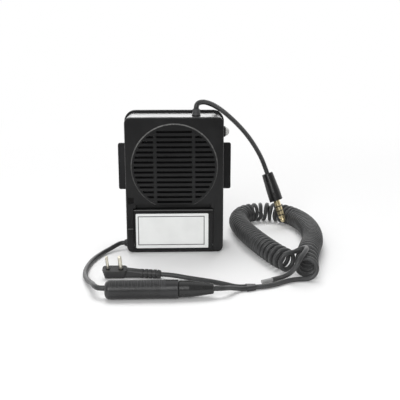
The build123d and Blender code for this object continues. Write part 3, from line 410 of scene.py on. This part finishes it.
class Wire:
    """A node's output that takes part in arithmetic: each operator adds one Math node."""

    def __init__(self, graph, socket):
        self.graph = graph
        self.socket = socket

    def maths(self, operation, *values):
        return self.graph.node("ShaderNodeMath", {"operation": operation}, dict(enumerate(values)))

    def __add__(self, other):
        return self.maths("ADD", self, other)

    def __radd__(self, other):
        return self.maths("ADD", other, self)

    def __sub__(self, other):
        return self.maths("SUBTRACT", self, other)

    def __rsub__(self, other):
        return self.maths("SUBTRACT", other, self)

    def __mul__(self, other):
        return self.maths("MULTIPLY", self, other)

    def __rmul__(self, other):
        return self.maths("MULTIPLY", other, self)

    def __pow__(self, other):
        return self.maths("POWER", self, other)

    def __neg__(self):
        return self.maths("MULTIPLY", self, -1.0)

    def __abs__(self):
        return self.maths("ABSOLUTE", self)

    def sine(self):
        return self.maths("SINE", self)

    def least(self, other):
        return self.maths("MINIMUM", self, other)

    def most(self, other):
        return self.maths("MAXIMUM", self, other)

    def ramp(self, low, high):
        """0 below low, 1 above high and smooth between; high may be the lower one."""
        values = {"Value": self, "From Min": low, "From Max": high}
        return self.graph.node("ShaderNodeMapRange", {"interpolation_type": "SMOOTHSTEP"}, values)

    def near(self, value, inner, outer):
        """1 within inner of a value, 0 beyond outer and smooth between."""
        return 1 - abs(self - value).ramp(inner, outer)


class Graph:
    """A node tree with one method that adds any node."""

    def __init__(self, tree):
        self.tree = tree

    def node(self, kind, settings=None, values=None, out=0):
        """Add a node: its settings, then its sockets by name or number, as values or wires."""
        made = self.tree.nodes.new(kind)
        for name, value in (settings or {}).items():
            setattr(made, name, value)
        for name, value in (values or {}).items():
            if isinstance(value, Wire):
                self.tree.links.new(value.socket, made.inputs[name])
            else:
                made.inputs[name].default_value = value
        return Wire(self, made.outputs[out])

    def rays(self):
        """Whether a ray is the camera's, a mirror's or one through glass, as three wires."""
        outputs = self.node("ShaderNodeLightPath").socket.node.outputs
        names = ("Is Camera Ray", "Is Glossy Ray", "Is Transmission Ray")
        return [Wire(self, outputs[name]) for name in names]


class Finish(Graph):
    """The material of one surface."""

    def __init__(self, name, rough=0.5, metal=0.0, coat=0.0, gloss=0.5):
        self.material = bpy.data.materials.new(name)
        self.material.use_nodes = True
        super().__init__(self.material.node_tree)
        self.shader = self.tree.nodes["Principled BSDF"]
        self.shader.inputs["Roughness"].default_value = rough
        self.shader.inputs["Metallic"].default_value = metal
        self.shader.inputs["Coat Weight"].default_value = coat
        self.shader.inputs["Specular IOR Level"].default_value = gloss
        self.place = self.node("ShaderNodeTexCoord", out="Object")

    def feed(self, name, value):
        """Link or set one of the shader's own sockets."""
        socket = self.shader.inputs[name]
        if isinstance(value, Wire):
            self.tree.links.new(value.socket, socket)
        else:
            socket.default_value = value

    def axes(self):
        """The three Object coordinates as wires."""
        split = self.node("ShaderNodeSeparateXYZ", values={"Vector": self.place})
        return [Wire(self, socket) for socket in split.socket.node.outputs]

    def noise(self, per_metre, detail=2.0, stretch=None):
        """Noise whose grains number so many to the metre, stretched if asked."""
        place = self.place
        if stretch:
            place = self.node("ShaderNodeMapping", values={"Vector": place, "Scale": stretch})
        values = {"Vector": place, "Scale": per_metre, "Detail": detail}
        return self.node("ShaderNodeTexNoise", values=values)

    def tint(self, mask, first, second):
        """A colour between two, by a mask."""
        values = {0: mask, 6: first, 7: second}
        return self.node("ShaderNodeMix", {"data_type": "RGBA"}, values, out=2)

    def relief(self, height, depth, strength=1.0):
        """Bump the surface by a height from 0 to 1, so many metres deep."""
        values = {"Height": height, "Distance": depth, "Strength": strength}
        self.feed("Normal", self.node("ShaderNodeBump", values=values))


def shade(colour, factor=1.0):
    """A colour with its alpha, brightened by a factor."""
    return (*[min(part * factor, 1.0) for part in colour[:3]], 1.0)


def moulded(name, colour, rough, grain=2400, depth=0.00002, coat=0.0, gloss=0.35):
    """Moulded plastic or rubber: spark-eroded grain, cloudy sheen and a faint drift of colour."""
    finish = Finish(name, rough, coat=coat, gloss=gloss)
    cloud = finish.noise(28, 4.0)
    grains = finish.noise(grain, 3.0)
    handled = finish.noise(160, 5.0)
    tinted = finish.tint(cloud.ramp(0.3, 0.7), shade(colour, 0.7), shade(colour, 1.3))
    finish.feed("Base Color", tinted)
    finish.feed("Roughness", rough - 0.05 + 0.1 * handled + 0.06 * grains)
    finish.relief(grains, depth)
    return finish


def housing_finish(colour):
    """The housing's satin moulding, paler and smoother along its edges: partly rubbed wear, partly
    a painted highlight where the rounded edges catch the light.
    """
    finish = moulded("satin_housing", colour, 0.4, grain=1900, depth=0.00003, gloss=0.38)
    x, y, z = finish.axes()
    forward = -y
    front = forward.ramp(FACE - 0.0017, FACE - 0.0002)
    side = abs(x).ramp(SIDE_X - 0.0005, SIDE_X + 0.0005)
    crown = z.ramp(CROWN_Z - 0.0006, CROWN_Z + 0.0006)
    scuffs = finish.noise(420, 4.0).ramp(0.42, 0.62)
    # Paler along the front edges: part rubbed wear, part a painted highlight on the rounded edges
    rubbed_and_highlit = front.least(side.most(crown)) * (0.35 + 0.65 * scuffs)

    # Painted highlights, as pale lines where edges catch the light: the grille's ring, brighter
    # above, the paddle's lip and the ledge beside it
    rise = z - GRILLE_Z
    radius = (x * x + rise * rise) ** 0.5
    upper_arc_light = 0.22 + 0.6 * rise.ramp(-0.01, 0.036)
    face = forward.ramp(FACE - 0.0003, FACE + 0.0001)
    proud = forward.ramp(FACE + 0.0001, FACE + 0.0004)
    hoop = radius.near(RING_RADIUS, 0.0003, 0.0008) * face * upper_arc_light
    lip_highlight = z.near(PADDLE_LIP_Z, 0.0003, 0.0007) * proud
    beside = (-x).ramp(LEDGE_X - 0.0003, LEDGE_X + 0.0003)
    ledge_highlight = z.near(LEDGE_Z, 0.0002, 0.0005) * proud * beside
    painted_highlights = (hoop * (0.6 + 0.4 * scuffs)).most(lip_highlight * 0.35).most(ledge_highlight * 0.6)

    cloud = finish.noise(28, 4.0).ramp(0.3, 0.7)
    plain = finish.tint(cloud, shade(colour, 0.8), shade(colour, 1.25))
    edged = finish.tint(rubbed_and_highlit * 0.8, plain, shade(colour, 7))
    bright = finish.tint(painted_highlights, edged, (0.24, 0.24, 0.235, 1.0))

    # Painted shade: the indicator's hole is darker inside, and duller
    off_hole = abs(x - HOLE_X).most(abs(z - HOLE_Z))
    inside = y.ramp(0.0001 - FACE, 0.0004 - FACE)
    shadow = off_hole.near(0.0, HOLE_HALF - 0.0001, HOLE_HALF + 0.0001) * inside
    finish.feed("Base Color", finish.tint(shadow, bright, (0.0015, 0.0015, 0.0015, 1.0)))
    dust = finish.noise(70, 5.0).ramp(0.45, 0.75)
    finish.feed("Roughness", 0.3 + 0.08 * dust - 0.06 * rubbed_and_highlit + 0.4 * shadow)
    finish.shader.inputs["Coat Roughness"].default_value = 0.2
    finish.feed("Coat Weight", 0.45 * z.ramp(CROWN_Z - 0.0001, CROWN_Z + 0.001))
    return finish


def ribbed_finish(colour):
    """The jack's moulding, with fine ribs round its upper side and painted highlights along them
    there.
    """
    finish = Finish("ribbed_moulding", 0.4, gloss=0.5)
    x, y, z = finish.axes()
    ribs = (x * (math.tau / JACK_STRIPE)).sine().ramp(-0.5, 0.5)
    left, right = JACK_RIBS_X
    reach = x.ramp(left - 0.0005, left + 0.0005) * x.ramp(right + 0.0005, right - 0.0005)
    ribbed_and_highlit = z.ramp(*JACK_RIBS_Z) * reach
    grains = finish.noise(2600, 3.0)
    cloud = finish.noise(60, 4.0).ramp(0.3, 0.7)
    plain = finish.tint(cloud, shade(colour, 0.85), shade(colour, 1.15))
    # Painted highlights: paler stripes between the ribs on the upper side, where light catches
    # them
    finish.feed("Base Color", finish.tint((1 - ribs) * ribbed_and_highlit, plain, shade(colour, 2.4)))
    finish.feed("Roughness", 0.27 + 0.25 * ribbed_and_highlit + 0.06 * grains)
    finish.relief(ribs * ribbed_and_highlit + 0.05 * grains, 0.0003)
    return finish


def painted(name, colour, rough=0.42):
    """Satin paint over metal: fine orange peel and a few rubbed specks."""
    finish = Finish(name, rough, gloss=0.25)
    peel = finish.noise(900, 2.0)
    cloud = finish.noise(32, 3.0)
    specks = finish.noise(1500, 6.0).ramp(0.72, 0.76)
    plain = finish.tint(cloud.ramp(0.3, 0.7), shade(colour, 0.8), shade(colour, 1.2))
    finish.feed("Base Color", finish.tint(specks * 0.5, plain, shade(colour, 5)))
    finish.feed("Roughness", rough + 0.12 * cloud - 0.06)
    finish.relief(peel, 0.00003, 0.7)
    return finish


def jacket(name, colour):
    """Extruded rubber jacket: fine grain, dull patches and pale dust."""
    finish = Finish(name, 0.4, gloss=0.5)
    patches = finish.noise(120, 4.0)
    skin = finish.noise(2600, 3.0)
    dust = finish.noise(900, 6.0).ramp(0.6, 0.8)
    plain = finish.tint(patches.ramp(0.35, 0.65), shade(colour, 0.85), shade(colour, 1.15))
    finish.feed("Base Color", finish.tint(dust * 0.25, plain, shade(colour, 2.6)))
    finish.feed("Roughness", 0.32 + 0.16 * patches + 0.06 * dust)
    finish.relief(skin, 0.000025)
    return finish


def turned_metal(name, colour, rough, metal=1.0):
    """Bright metal with fine tool marks and a little tarnish."""
    finish = Finish(name, rough, metal=metal)
    marks = finish.noise(1700, 2.0, stretch=(1.0, 0.2, 1.0))
    tarnish = finish.noise(240, 5.0).ramp(0.4, 0.75)
    finish.feed("Base Color", finish.tint(tarnish * 0.35, shade(colour), shade(colour, 0.6)))
    finish.feed("Roughness", rough + 0.12 * marks + 0.14 * tarnish)
    finish.relief(marks, 0.00001)
    return finish


def label_finish(colour):
    """White printed foil with one thin grey line round its edge."""
    finish = Finish("label_foil", 0.32, coat=0.2)
    x, y, z = finish.axes()
    across = abs(x - LABEL_X) - LABEL_LINE_X
    upright = abs(z - LABEL_Z) - LABEL_LINE_Z
    line = across.most(upright).near(0.0, 0.0003, 0.0005)
    fade = finish.noise(60, 3.0)
    paper = finish.tint(fade.ramp(0.3, 0.7), shade(colour, 0.97), shade(colour, 1.02))
    finish.feed("Base Color", finish.tint(line, paper, (0.05, 0.05, 0.052, 1.0)))
    finish.feed("Roughness", 0.28 + 0.1 * fade + 0.1 * line)
    finish.relief(finish.noise(500, 2.0), 0.00002, 0.5)
    return finish


def woven(name, colour):
    """Black cloth of crossing threads."""
    finish = Finish(name, 0.85)
    x, y, z = finish.axes()
    threads = (x * 9000).sine() * (z * 9000).sine()
    fuzz = finish.noise(1200, 5.0)
    crossed = threads.ramp(-0.6, 0.6)
    finish.feed("Base Color", finish.tint(crossed, shade(colour, 0.5), shade(colour, 1.5)))
    finish.feed("Roughness", 0.8 + 0.15 * fuzz)
    finish.relief(threads, 0.0001, 0.8)
    return finish


def board_finish(name, colour):
    """Lacquered board with copper tracks under the lacquer."""
    finish = Finish(name, 0.3, coat=0.3)
    x, y, z = finish.axes()
    tracks = (x * 900).sine().ramp(0.6, 0.7).most((z * 700).sine().ramp(0.75, 0.85))
    finish.feed("Base Color", finish.tint(tracks, shade(colour), shade(colour, 1.9)))
    finish.feed("Roughness", 0.25 + 0.15 * finish.noise(300, 3.0))
    finish.relief(tracks, 0.00005)
    return finish


def carried(*names):
    """CAD nodes by their names."""
    return [nodes[name] for name in names]


def dress(finish, *names):
    """Put a finish on CAD nodes."""
    for node in carried(*names):
        node.data.materials.clear()
        node.data.materials.append(finish.material)


def plain_mesh(made):
    """An object's evaluated shape as a plain mesh."""
    bpy.context.view_layer.update()
    graph = bpy.context.evaluated_depsgraph_get()
    return bpy.data.meshes.new_from_object(made.evaluated_get(graph))


def spline_curve(name, points, resolution=6):
    """A curve along a route's control points, with no thickness yet and knots of 1 mm, not 1 m."""
    curve = bpy.data.curves.new(name, "CURVE")
    curve.dimensions = "3D"
    spline = curve.splines.new("NURBS")
    spline.points.add(len(points) - 1)
    for knot, point in zip(spline.points, points):
        knot.co = (*(Vector(point) * MM), 1.0)
        knot.radius = MM
    spline.order_u = 3
    spline.use_endpoint_u = True
    curve.resolution_u = resolution
    return curve


def centre_line(points):
    """Points along a route's spline, read from Blender."""
    thread = bpy.data.objects.new("thread", spline_curve("thread", points))
    bpy.context.scene.collection.objects.link(thread)
    held = plain_mesh(thread)
    line = [vertex.co / MM for vertex in held.vertices]
    bpy.data.objects.remove(thread)
    bpy.data.meshes.remove(held)
    return line


def add_lead(name, points, diameter, finish, replaced, resolution=12):
    """A round lead as a curve with thickness, which stands for its CAD tubes."""
    curve = spline_curve(name, points, resolution)
    curve.bevel_depth = diameter / 2 / MM
    curve.bevel_resolution = 4
    curve.use_fill_caps = True
    curve.materials.append(finish.material)
    lead = bpy.data.objects.new(name, curve)
    bpy.context.scene.collection.objects.link(lead)
    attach(lead, UNIT)
    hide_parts(*replaced)
    return lead


def length_of(points):
    """Length of a line of points, in metres."""
    line = centre_line(points)
    return sum((b - a).length for a, b in zip(line, line[1:])) * MM


def pitch_at(distance):
    """Pitch of the curls at a distance along the cord."""
    for (low, low_pitch), (high, high_pitch) in zip(PITCH_STATIONS, PITCH_STATIONS[1:]):
        if distance <= high:
            return low_pitch + (high_pitch - low_pitch) * (distance - low) / (high - low)
    return PITCH_STATIONS[-1][1]


def curl_points(sizes):
    """Control points of the curls, wound round the spline of the cord's axis."""
    radius = sizes.curl_radius / MM
    # The spline runs inside its control points, so they stand further out than the radius
    swell = 1 / (0.75 + 0.25 * math.cos(math.tau / sizes.curl_points))
    reach = radius * swell
    axis_height = radius + sizes.lead / MM / 2 + COIL_LIFT
    line = centre_line([(x, y, axis_height) for x, y in COIL_AXIS])
    distances = [0.0]
    for before, after in zip(line, line[1:]):
        distances.append(distances[-1] + (after - before).length)
    # Turns summed up along the line, then scaled to the number wanted
    step = distances[-1] / COIL_STEPS
    turns = [0.0]
    for index in range(COIL_STEPS):
        turns.append(turns[-1] + step / pitch_at(step * (index + 0.5)))
    scale = sizes.half_turns / 2 / turns[-1]
    points = []
    place = 0
    section = 0
    for index in range(sizes.half_turns * sizes.curl_points // 2 + 1):
        turn = index / sizes.curl_points
        while place < COIL_STEPS - 1 and turns[place + 1] * scale < turn:
            place += 1
        share = (turn / scale - turns[place]) / (turns[place + 1] - turns[place])
        distance = min(step * (place + share), distances[-1])
        while section < len(line) - 2 and distances[section + 1] < distance:
            section += 1
        along = line[section + 1] - line[section]
        centre = line[section] + along * ((distance - distances[section]) / along.length)
        beside = along.normalized().cross(UP)
        angle = CURL_START + math.tau * turn
        points.append(centre + reach * (math.cos(angle) * beside + math.sin(angle) * UP))
    return points


def ring_tree(finish):
    """Geometry Nodes: rings in a row along X, with Count, Pitch, Radius, Thickness and Sides."""
    tree = bpy.data.node_groups.new("ring_row", "GeometryNodeTree")
    sockets = tree.interface
    sockets.new_socket("Count", in_out="INPUT", socket_type="NodeSocketInt")
    for name in ("Pitch", "Radius", "Thickness"):
        sockets.new_socket(name, in_out="INPUT", socket_type="NodeSocketFloat")
    sockets.new_socket("Sides", in_out="INPUT", socket_type="NodeSocketInt")
    sockets.new_socket("Geometry", in_out="OUTPUT", socket_type="NodeSocketGeometry")
    graph = Graph(tree)
    outputs = tree.nodes.new("NodeGroupInput").outputs
    wanted = {socket.name: Wire(graph, socket) for socket in outputs if socket.name}

    circle = "GeometryNodeCurvePrimitiveCircle"
    hoop = graph.node(circle, values={0: wanted["Sides"], "Radius": wanted["Radius"]})
    wire = graph.node(circle, values={0: RIB_SIDES, "Radius": wanted["Thickness"] * 0.5})
    ring = graph.node("GeometryNodeCurveToMesh", values={"Curve": hoop, "Profile Curve": wire})
    step = graph.node("ShaderNodeCombineXYZ", values={"X": wanted["Pitch"]})
    values = {"Count": wanted["Count"], "Offset": step}
    row = graph.node("GeometryNodeMeshLine", {"mode": "OFFSET"}, values)
    upright = (0.0, math.pi / 2, 0.0)
    values = {"Points": row, "Instance": ring, "Rotation": upright}
    rings = graph.node("GeometryNodeInstanceOnPoints", values=values)
    solid = graph.node("GeometryNodeRealizeInstances", values={"Geometry": rings})
    values = {"Geometry": solid, "Material": finish.material}
    dressed = graph.node("GeometryNodeSetMaterial", values=values)
    output = tree.nodes.new("NodeGroupOutput")
    tree.links.new(dressed.socket, output.inputs["Geometry"])
    return tree


def grown(name, tree, settings, place):
    """The mesh that a tree grows with these inputs, moved to its place, as a finished piece."""
    seed = bpy.data.objects.new(name, bpy.data.meshes.new(name + "_seed"))
    bpy.context.scene.collection.objects.link(seed)
    modifier = seed.modifiers.new("grow", "NODES")
    modifier.node_group = tree
    for socket in tree.interface.items_tree:
        if socket.in_out == "INPUT":
            modifier[socket.identifier] = settings[socket.name]
    mesh = plain_mesh(seed)
    seed.modifiers.clear()
    mesh.transform(Matrix.Translation(Vector(place) * MM))
    for polygon in mesh.polygons:
        polygon.use_smooth = True
    mesh.name = name
    seed.data = mesh
    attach(seed, UNIT)
    return seed


finishes = {}


class UNIT_OT_finishes(bpy.types.Operator):
    """Make every finish and put it on the CAD nodes"""

    bl_idname = "unit.finishes"
    bl_label = "Finishes"

    def execute(self, context):
        colours = context.scene.shell_colours
        housing = housing_finish(colours.housing)
        cover = painted("painted_cover", colours.cover)
        steel = turned_metal("turned_steel", (0.62, 0.62, 0.63), 0.3)
        nickel = turned_metal("nickel", (0.7, 0.69, 0.66), 0.22)
        plating = turned_metal("gold_plating", colours.plug, 0.2)
        pins = turned_metal("pin_plating", (0.86, 0.82, 0.7), 0.24)
        rubber = moulded("soft_moulding", (0.026, 0.026, 0.027), 0.4, grain=2200, gloss=0.5)
        black = moulded(
            "black_moulding", (0.013, 0.013, 0.013), 0.26, grain=2600, depth=0.00001, gloss=0.5
        )
        finishes["jacket"] = jacket("lead_jacket", colours.jacket)
        finishes["curly"] = jacket("curly_jacket", [1.35 * part for part in colours.jacket])
        finishes["black"] = black

        # The box
        dress(housing, "front_housing", "ptt_paddle")
        dress(cover, "rear_cover", "strap_bracket")
        dress(label_finish(colours.label), "label_plate")
        dress(moulded("button_cap", (0.6, 0.6, 0.58), 0.35), "side_button")
        dress(painted("dark_bezel", (0.02, 0.02, 0.02), 0.3), "side_button_bezel")
        lens = moulded("tinted_lens", (0.004, 0.003, 0.003), 0.3, depth=0.000005, gloss=0.2)
        dress(lens, "indicator_lens")
        gland = moulded("gland_rubber", (0.085, 0.085, 0.087), 0.32, gloss=0.5)
        dress(gland, "top_gland")
        dress(rubber, "housing_gasket", "speaker_seal", "side_grommet")
        dress(steel, "cover_screws", "bracket_screws", "speaker_screws", "board_screws")
        dress(steel, "paddle_pin")
        dress(nickel, "switch_nut", "side_button_nut", "top_gland_nut", "inline_jack_bushing")

        # The leads' plugs and jack
        dress(plating, "mask_plug_shaft", "inline_plug_shaft", "inline_jack_contacts")
        dress(pins, "radio_pin_small", "radio_pin_large")
        dress(rubber, "radio_plug_boot", "radio_plug_body", "lead_splice")
        dress(black, "inline_plug_insulators", "mask_plug_insulators", "radio_pin_collars")
        dress(black, "inline_plug_handle", "mask_plug_handle")
        dress(ribbed_finish((0.02, 0.02, 0.021)), "inline_jack_body")
        dress(moulded("pale_sleeve", (0.36, 0.36, 0.36), 0.4), "pigtail_sleeve")

        # Inside the box
        dress(black, "ptt_switch", "side_switch")
        dress(moulded("plunger_moulding", (0.5, 0.49, 0.45), 0.4), "ptt_plunger")
        dress(woven("grille_cloth_weave", (0.006, 0.006, 0.006)), "grille_cloth")
        dress(painted("zinc_pressing", (0.3, 0.3, 0.31), 0.35), "speaker_basket")
        dress(woven("cone_paper", (0.05, 0.05, 0.05)), "speaker_cone")
        dress(turned_metal("ferrite", (0.12, 0.12, 0.13), 0.5, metal=0.3), "speaker_magnet")
        dress(board_finish("board_lacquer", (0.03, 0.2, 0.09)), "circuit_board")
        dress(moulded("component_moulding", (0.03, 0.03, 0.032), 0.45), "board_parts")
        foam = moulded("foam_pad", (0.2, 0.2, 0.21), 0.9, grain=1200, depth=0.0001)
        dress(foam, "battery_pad")
        film = moulded("battery_film", (0.07, 0.12, 0.28), 0.25, grain=700, coat=0.4)
        dress(film, "battery_pack")
        resin = moulded("lamp_resin", (0.35, 0.04, 0.03), 0.15, depth=0.000005, coat=0.5)
        dress(resin, "indicator_led")
        return {"FINISHED"}


class UNIT_OT_leads(bpy.types.Operator):
    """Make the free leads and the curly cord"""

    bl_idname = "unit.leads"
    bl_label = "Leads"

    def execute(self, context):
        sizes = context.scene.lead_sizes
        skin = finishes["jacket"]
        top = add_lead("top_lead_jacket", TOP_ROUTE, sizes.top_lead, skin, ["top_lead"])
        length_of(TOP_ROUTE)
        lower = add_lead("lower_lead_jacket", LOWER_ROUTE, sizes.lower_lead, skin, ["lower_lead"])
        length_of(LOWER_ROUTE)
        curly_route = TAIL_ROUTE + curl_points(sizes)[::-1] + PIGTAIL_ROUTE
        curly = add_lead(
            "curly_cord_jacket",
            curly_route,
            sizes.lead,
            finishes["curly"],
            ["curly_cord", "coil_tail", "pigtail_lead"],
            resolution=3,
        )
        curly.data.bevel_resolution = 3
        length_of(curly_route)
        radio = add_lead("radio_lead_jacket", RADIO_ROUTE, sizes.lead, skin, ["radio_lead"])
        length_of(RADIO_ROUTE)
        inline = add_lead("inline_lead_jacket", INLINE_ROUTE, sizes.lead, skin, ["inline_lead"])
        length_of(INLINE_ROUTE)
        return {"FINISHED"}


class UNIT_OT_ribs(bpy.types.Operator):
    """Make the fine ribs round the inline jack"""

    bl_idname = "unit.ribs"
    bl_label = "Ribs"

    def execute(self, context):
        sizes = context.scene.rib_sizes
        tree = ring_tree(finishes["black"])
        settings = {
            "Count": sizes.jack_ribs,
            "Pitch": sizes.jack_pitch,
            "Radius": JACK_Z * MM - sizes.jack_rib * 0.25,
            "Thickness": sizes.jack_rib,
            "Sides": RING_SIDES,
        }
        ribs = grown("jack_ribs", tree, settings, (RIBS_LEFT, JACK_Y, JACK_Z))
        return {"FINISHED"}


def floor_paper(sizes):
    """Pale paper: lit and shadowed near the object, and plain white further off where seen."""
    paper = Finish("floor_paper", 0.9)
    paper.feed("Base Color", (0.9, 0.9, 0.9, 1.0))
    seen, mirrored, clear = paper.rays()
    x, y, z = paper.axes()
    aside = x - FLOOR_MIDDLE_X
    away = (aside * aside + y * y) ** 0.5
    lift = sizes.floor_glow + (1 - sizes.floor_glow) * away.ramp(GLOW_FROM, GLOW_TO)
    share = seen.most(mirrored).most(clear) * lift
    glow = paper.node("ShaderNodeEmission", values={"Color": WHITE, "Strength": 1.0})
    values = {0: share, 1: Wire(paper, paper.shader.outputs[0]), 2: glow}
    both = paper.node("ShaderNodeMixShader", values=values)
    paper.tree.links.new(both.socket, paper.tree.nodes["Material Output"].inputs["Surface"])
    return paper


def add_floor(scene, sizes):
    """A floor that ends a little before the object, whose face then mirrors less of it."""
    half = sizes.floor / 2
    front = sizes.floor_front
    corners = [(-half, front), (half, front), (half, half), (-half, half)]
    mesh = bpy.data.meshes.new("floor")
    mesh.from_pydata([(x, y, FLOOR_Z) for x, y in corners], [], [(0, 1, 2, 3)])
    floor = bpy.data.objects.new("floor", mesh)
    scene.collection.objects.link(floor)
    mesh.materials.append(floor_paper(sizes).material)


def add_world(scene, sizes):
    """White where it is seen or shows through, and behind the object where gloss mirrors it."""
    world = bpy.data.worlds.new("studio")
    world.use_nodes = True
    scene.world = world
    sky = Graph(world.node_tree)
    seen, mirrored, clear = sky.rays()
    heading = sky.node("ShaderNodeTexCoord", out="Generated")
    split = sky.node("ShaderNodeSeparateXYZ", values={"Vector": heading})
    behind = Wire(sky, split.socket.node.outputs["Y"]).ramp(-0.5, 0.2)
    strength = sizes.sky + (1 - sizes.sky) * seen.most(clear).most(mirrored * behind)
    background = world.node_tree.nodes["Background"]
    background.inputs["Color"].default_value = WHITE
    world.node_tree.links.new(strength.socket, background.inputs["Strength"])


def hang_lamp(scene, light, place, aim, mirrored=True):
    """Hang a lamp that looks at a point, and say whether gloss mirrors it."""
    lamp = bpy.data.objects.new(light.name, light)
    lamp.visible_glossy = mirrored
    lamp.location = place
    lamp.rotation_euler = (Vector(aim) - Vector(place)).to_track_quat("-Z", "Y").to_euler()
    scene.collection.objects.link(lamp)


def panel_light(name, power, width, height):
    """A soft rectangular light."""
    light = bpy.data.lights.new(name, "AREA")
    light.shape = "RECTANGLE"
    light.size = width
    light.size_y = height
    light.energy = power
    return light


class UNIT_OT_stage(bpy.types.Operator):
    """Make the floor, the lamps and the camera"""

    bl_idname = "unit.stage"
    bl_label = "Stage"

    def execute(self, context):
        scene = context.scene
        sizes = scene.stage_sizes
        scene.view_settings.view_transform = "Standard"
        add_floor(scene, sizes)
        add_world(scene, sizes)

        overhead = bpy.data.lights.new("overhead", "SUN")
        overhead.energy = sizes.sun
        overhead.angle = math.radians(45)
        hang_lamp(scene, overhead, (-0.1, 0.5, 1.2), (0, 0, 0), mirrored=False)
        back = panel_light("back", sizes.back_power, 2.6, 0.5)
        hang_lamp(scene, back, (0, 1.9, 0.66), (0, 0, 0.12))
        low = panel_light("low", sizes.low_power, 1.4, 0.5)
        hang_lamp(scene, low, (-0.4, -1.6, 0.27), (0, 0, 0.06), mirrored=False)
        front = panel_light("front", sizes.front_power, 0.9, 0.9)
        hang_lamp(scene, front, (-0.4, -1.3, 0.85), (0, 0, 0.06))

        camera = bpy.data.objects.new("camera", bpy.data.cameras.new("camera"))
        scene.collection.objects.link(camera)
        camera.data.lens = sizes.lens
        camera.data.sensor_width = SENSOR_WIDTH
        camera.location = CAMERA_PLACE
        camera.rotation_euler = (math.pi / 2 - sizes.pitch, 0.0, -sizes.yaw)
        scene.camera = camera
        return {"FINISHED"}


class UNIT_PT_panel(bpy.types.Panel):
    """Lists the steps and the sizes of the unit"""

    bl_idname = "UNIT_PT_panel"
    bl_label = "Push-to-talk unit"
    bl_space_type = "VIEW_3D"
    bl_region_type = "UI"
    bl_category = "Unit"

    def draw(self, context):
        for operator in OPERATORS:
            self.layout.operator(operator.bl_idname)
        for name in GROUPS:
            group = getattr(context.scene, name)
            box = self.layout.box()
            for size in group.bl_rna.properties:
                if size.identifier not in ("rna_type", "name"):
                    box.prop(group, size.identifier)


GROUPS = {
    "lead_sizes": LeadSizes,
    "rib_sizes": RibSizes,
    "shell_colours": ShellColours,
    "stage_sizes": StageSizes,
}
OPERATORS = [UNIT_OT_stage, UNIT_OT_finishes, UNIT_OT_leads, UNIT_OT_ribs]


def register():
    """Register the classes and hang their sizes on the scene."""
    for name, group in GROUPS.items():
        bpy.utils.register_class(group)
        setattr(bpy.types.Scene, name, PointerProperty(type=group))
    for operator in OPERATORS:
        bpy.utils.register_class(operator)
    bpy.utils.register_class(UNIT_PT_panel)


def unregister():
    """Take the classes and their sizes away again."""
    bpy.utils.unregister_class(UNIT_PT_panel)
    for operator in reversed(OPERATORS):
        bpy.utils.unregister_class(operator)
    for name, group in reversed(GROUPS.items()):
        delattr(bpy.types.Scene, name)
        bpy.utils.unregister_class(group)


def main():
    """Build the unit's looks."""
    register()
    bpy.ops.unit.stage()
    bpy.ops.unit.finishes()
    bpy.ops.unit.leads()
    bpy.ops.unit.ribs()


if __name__ == "__main__":
    main()
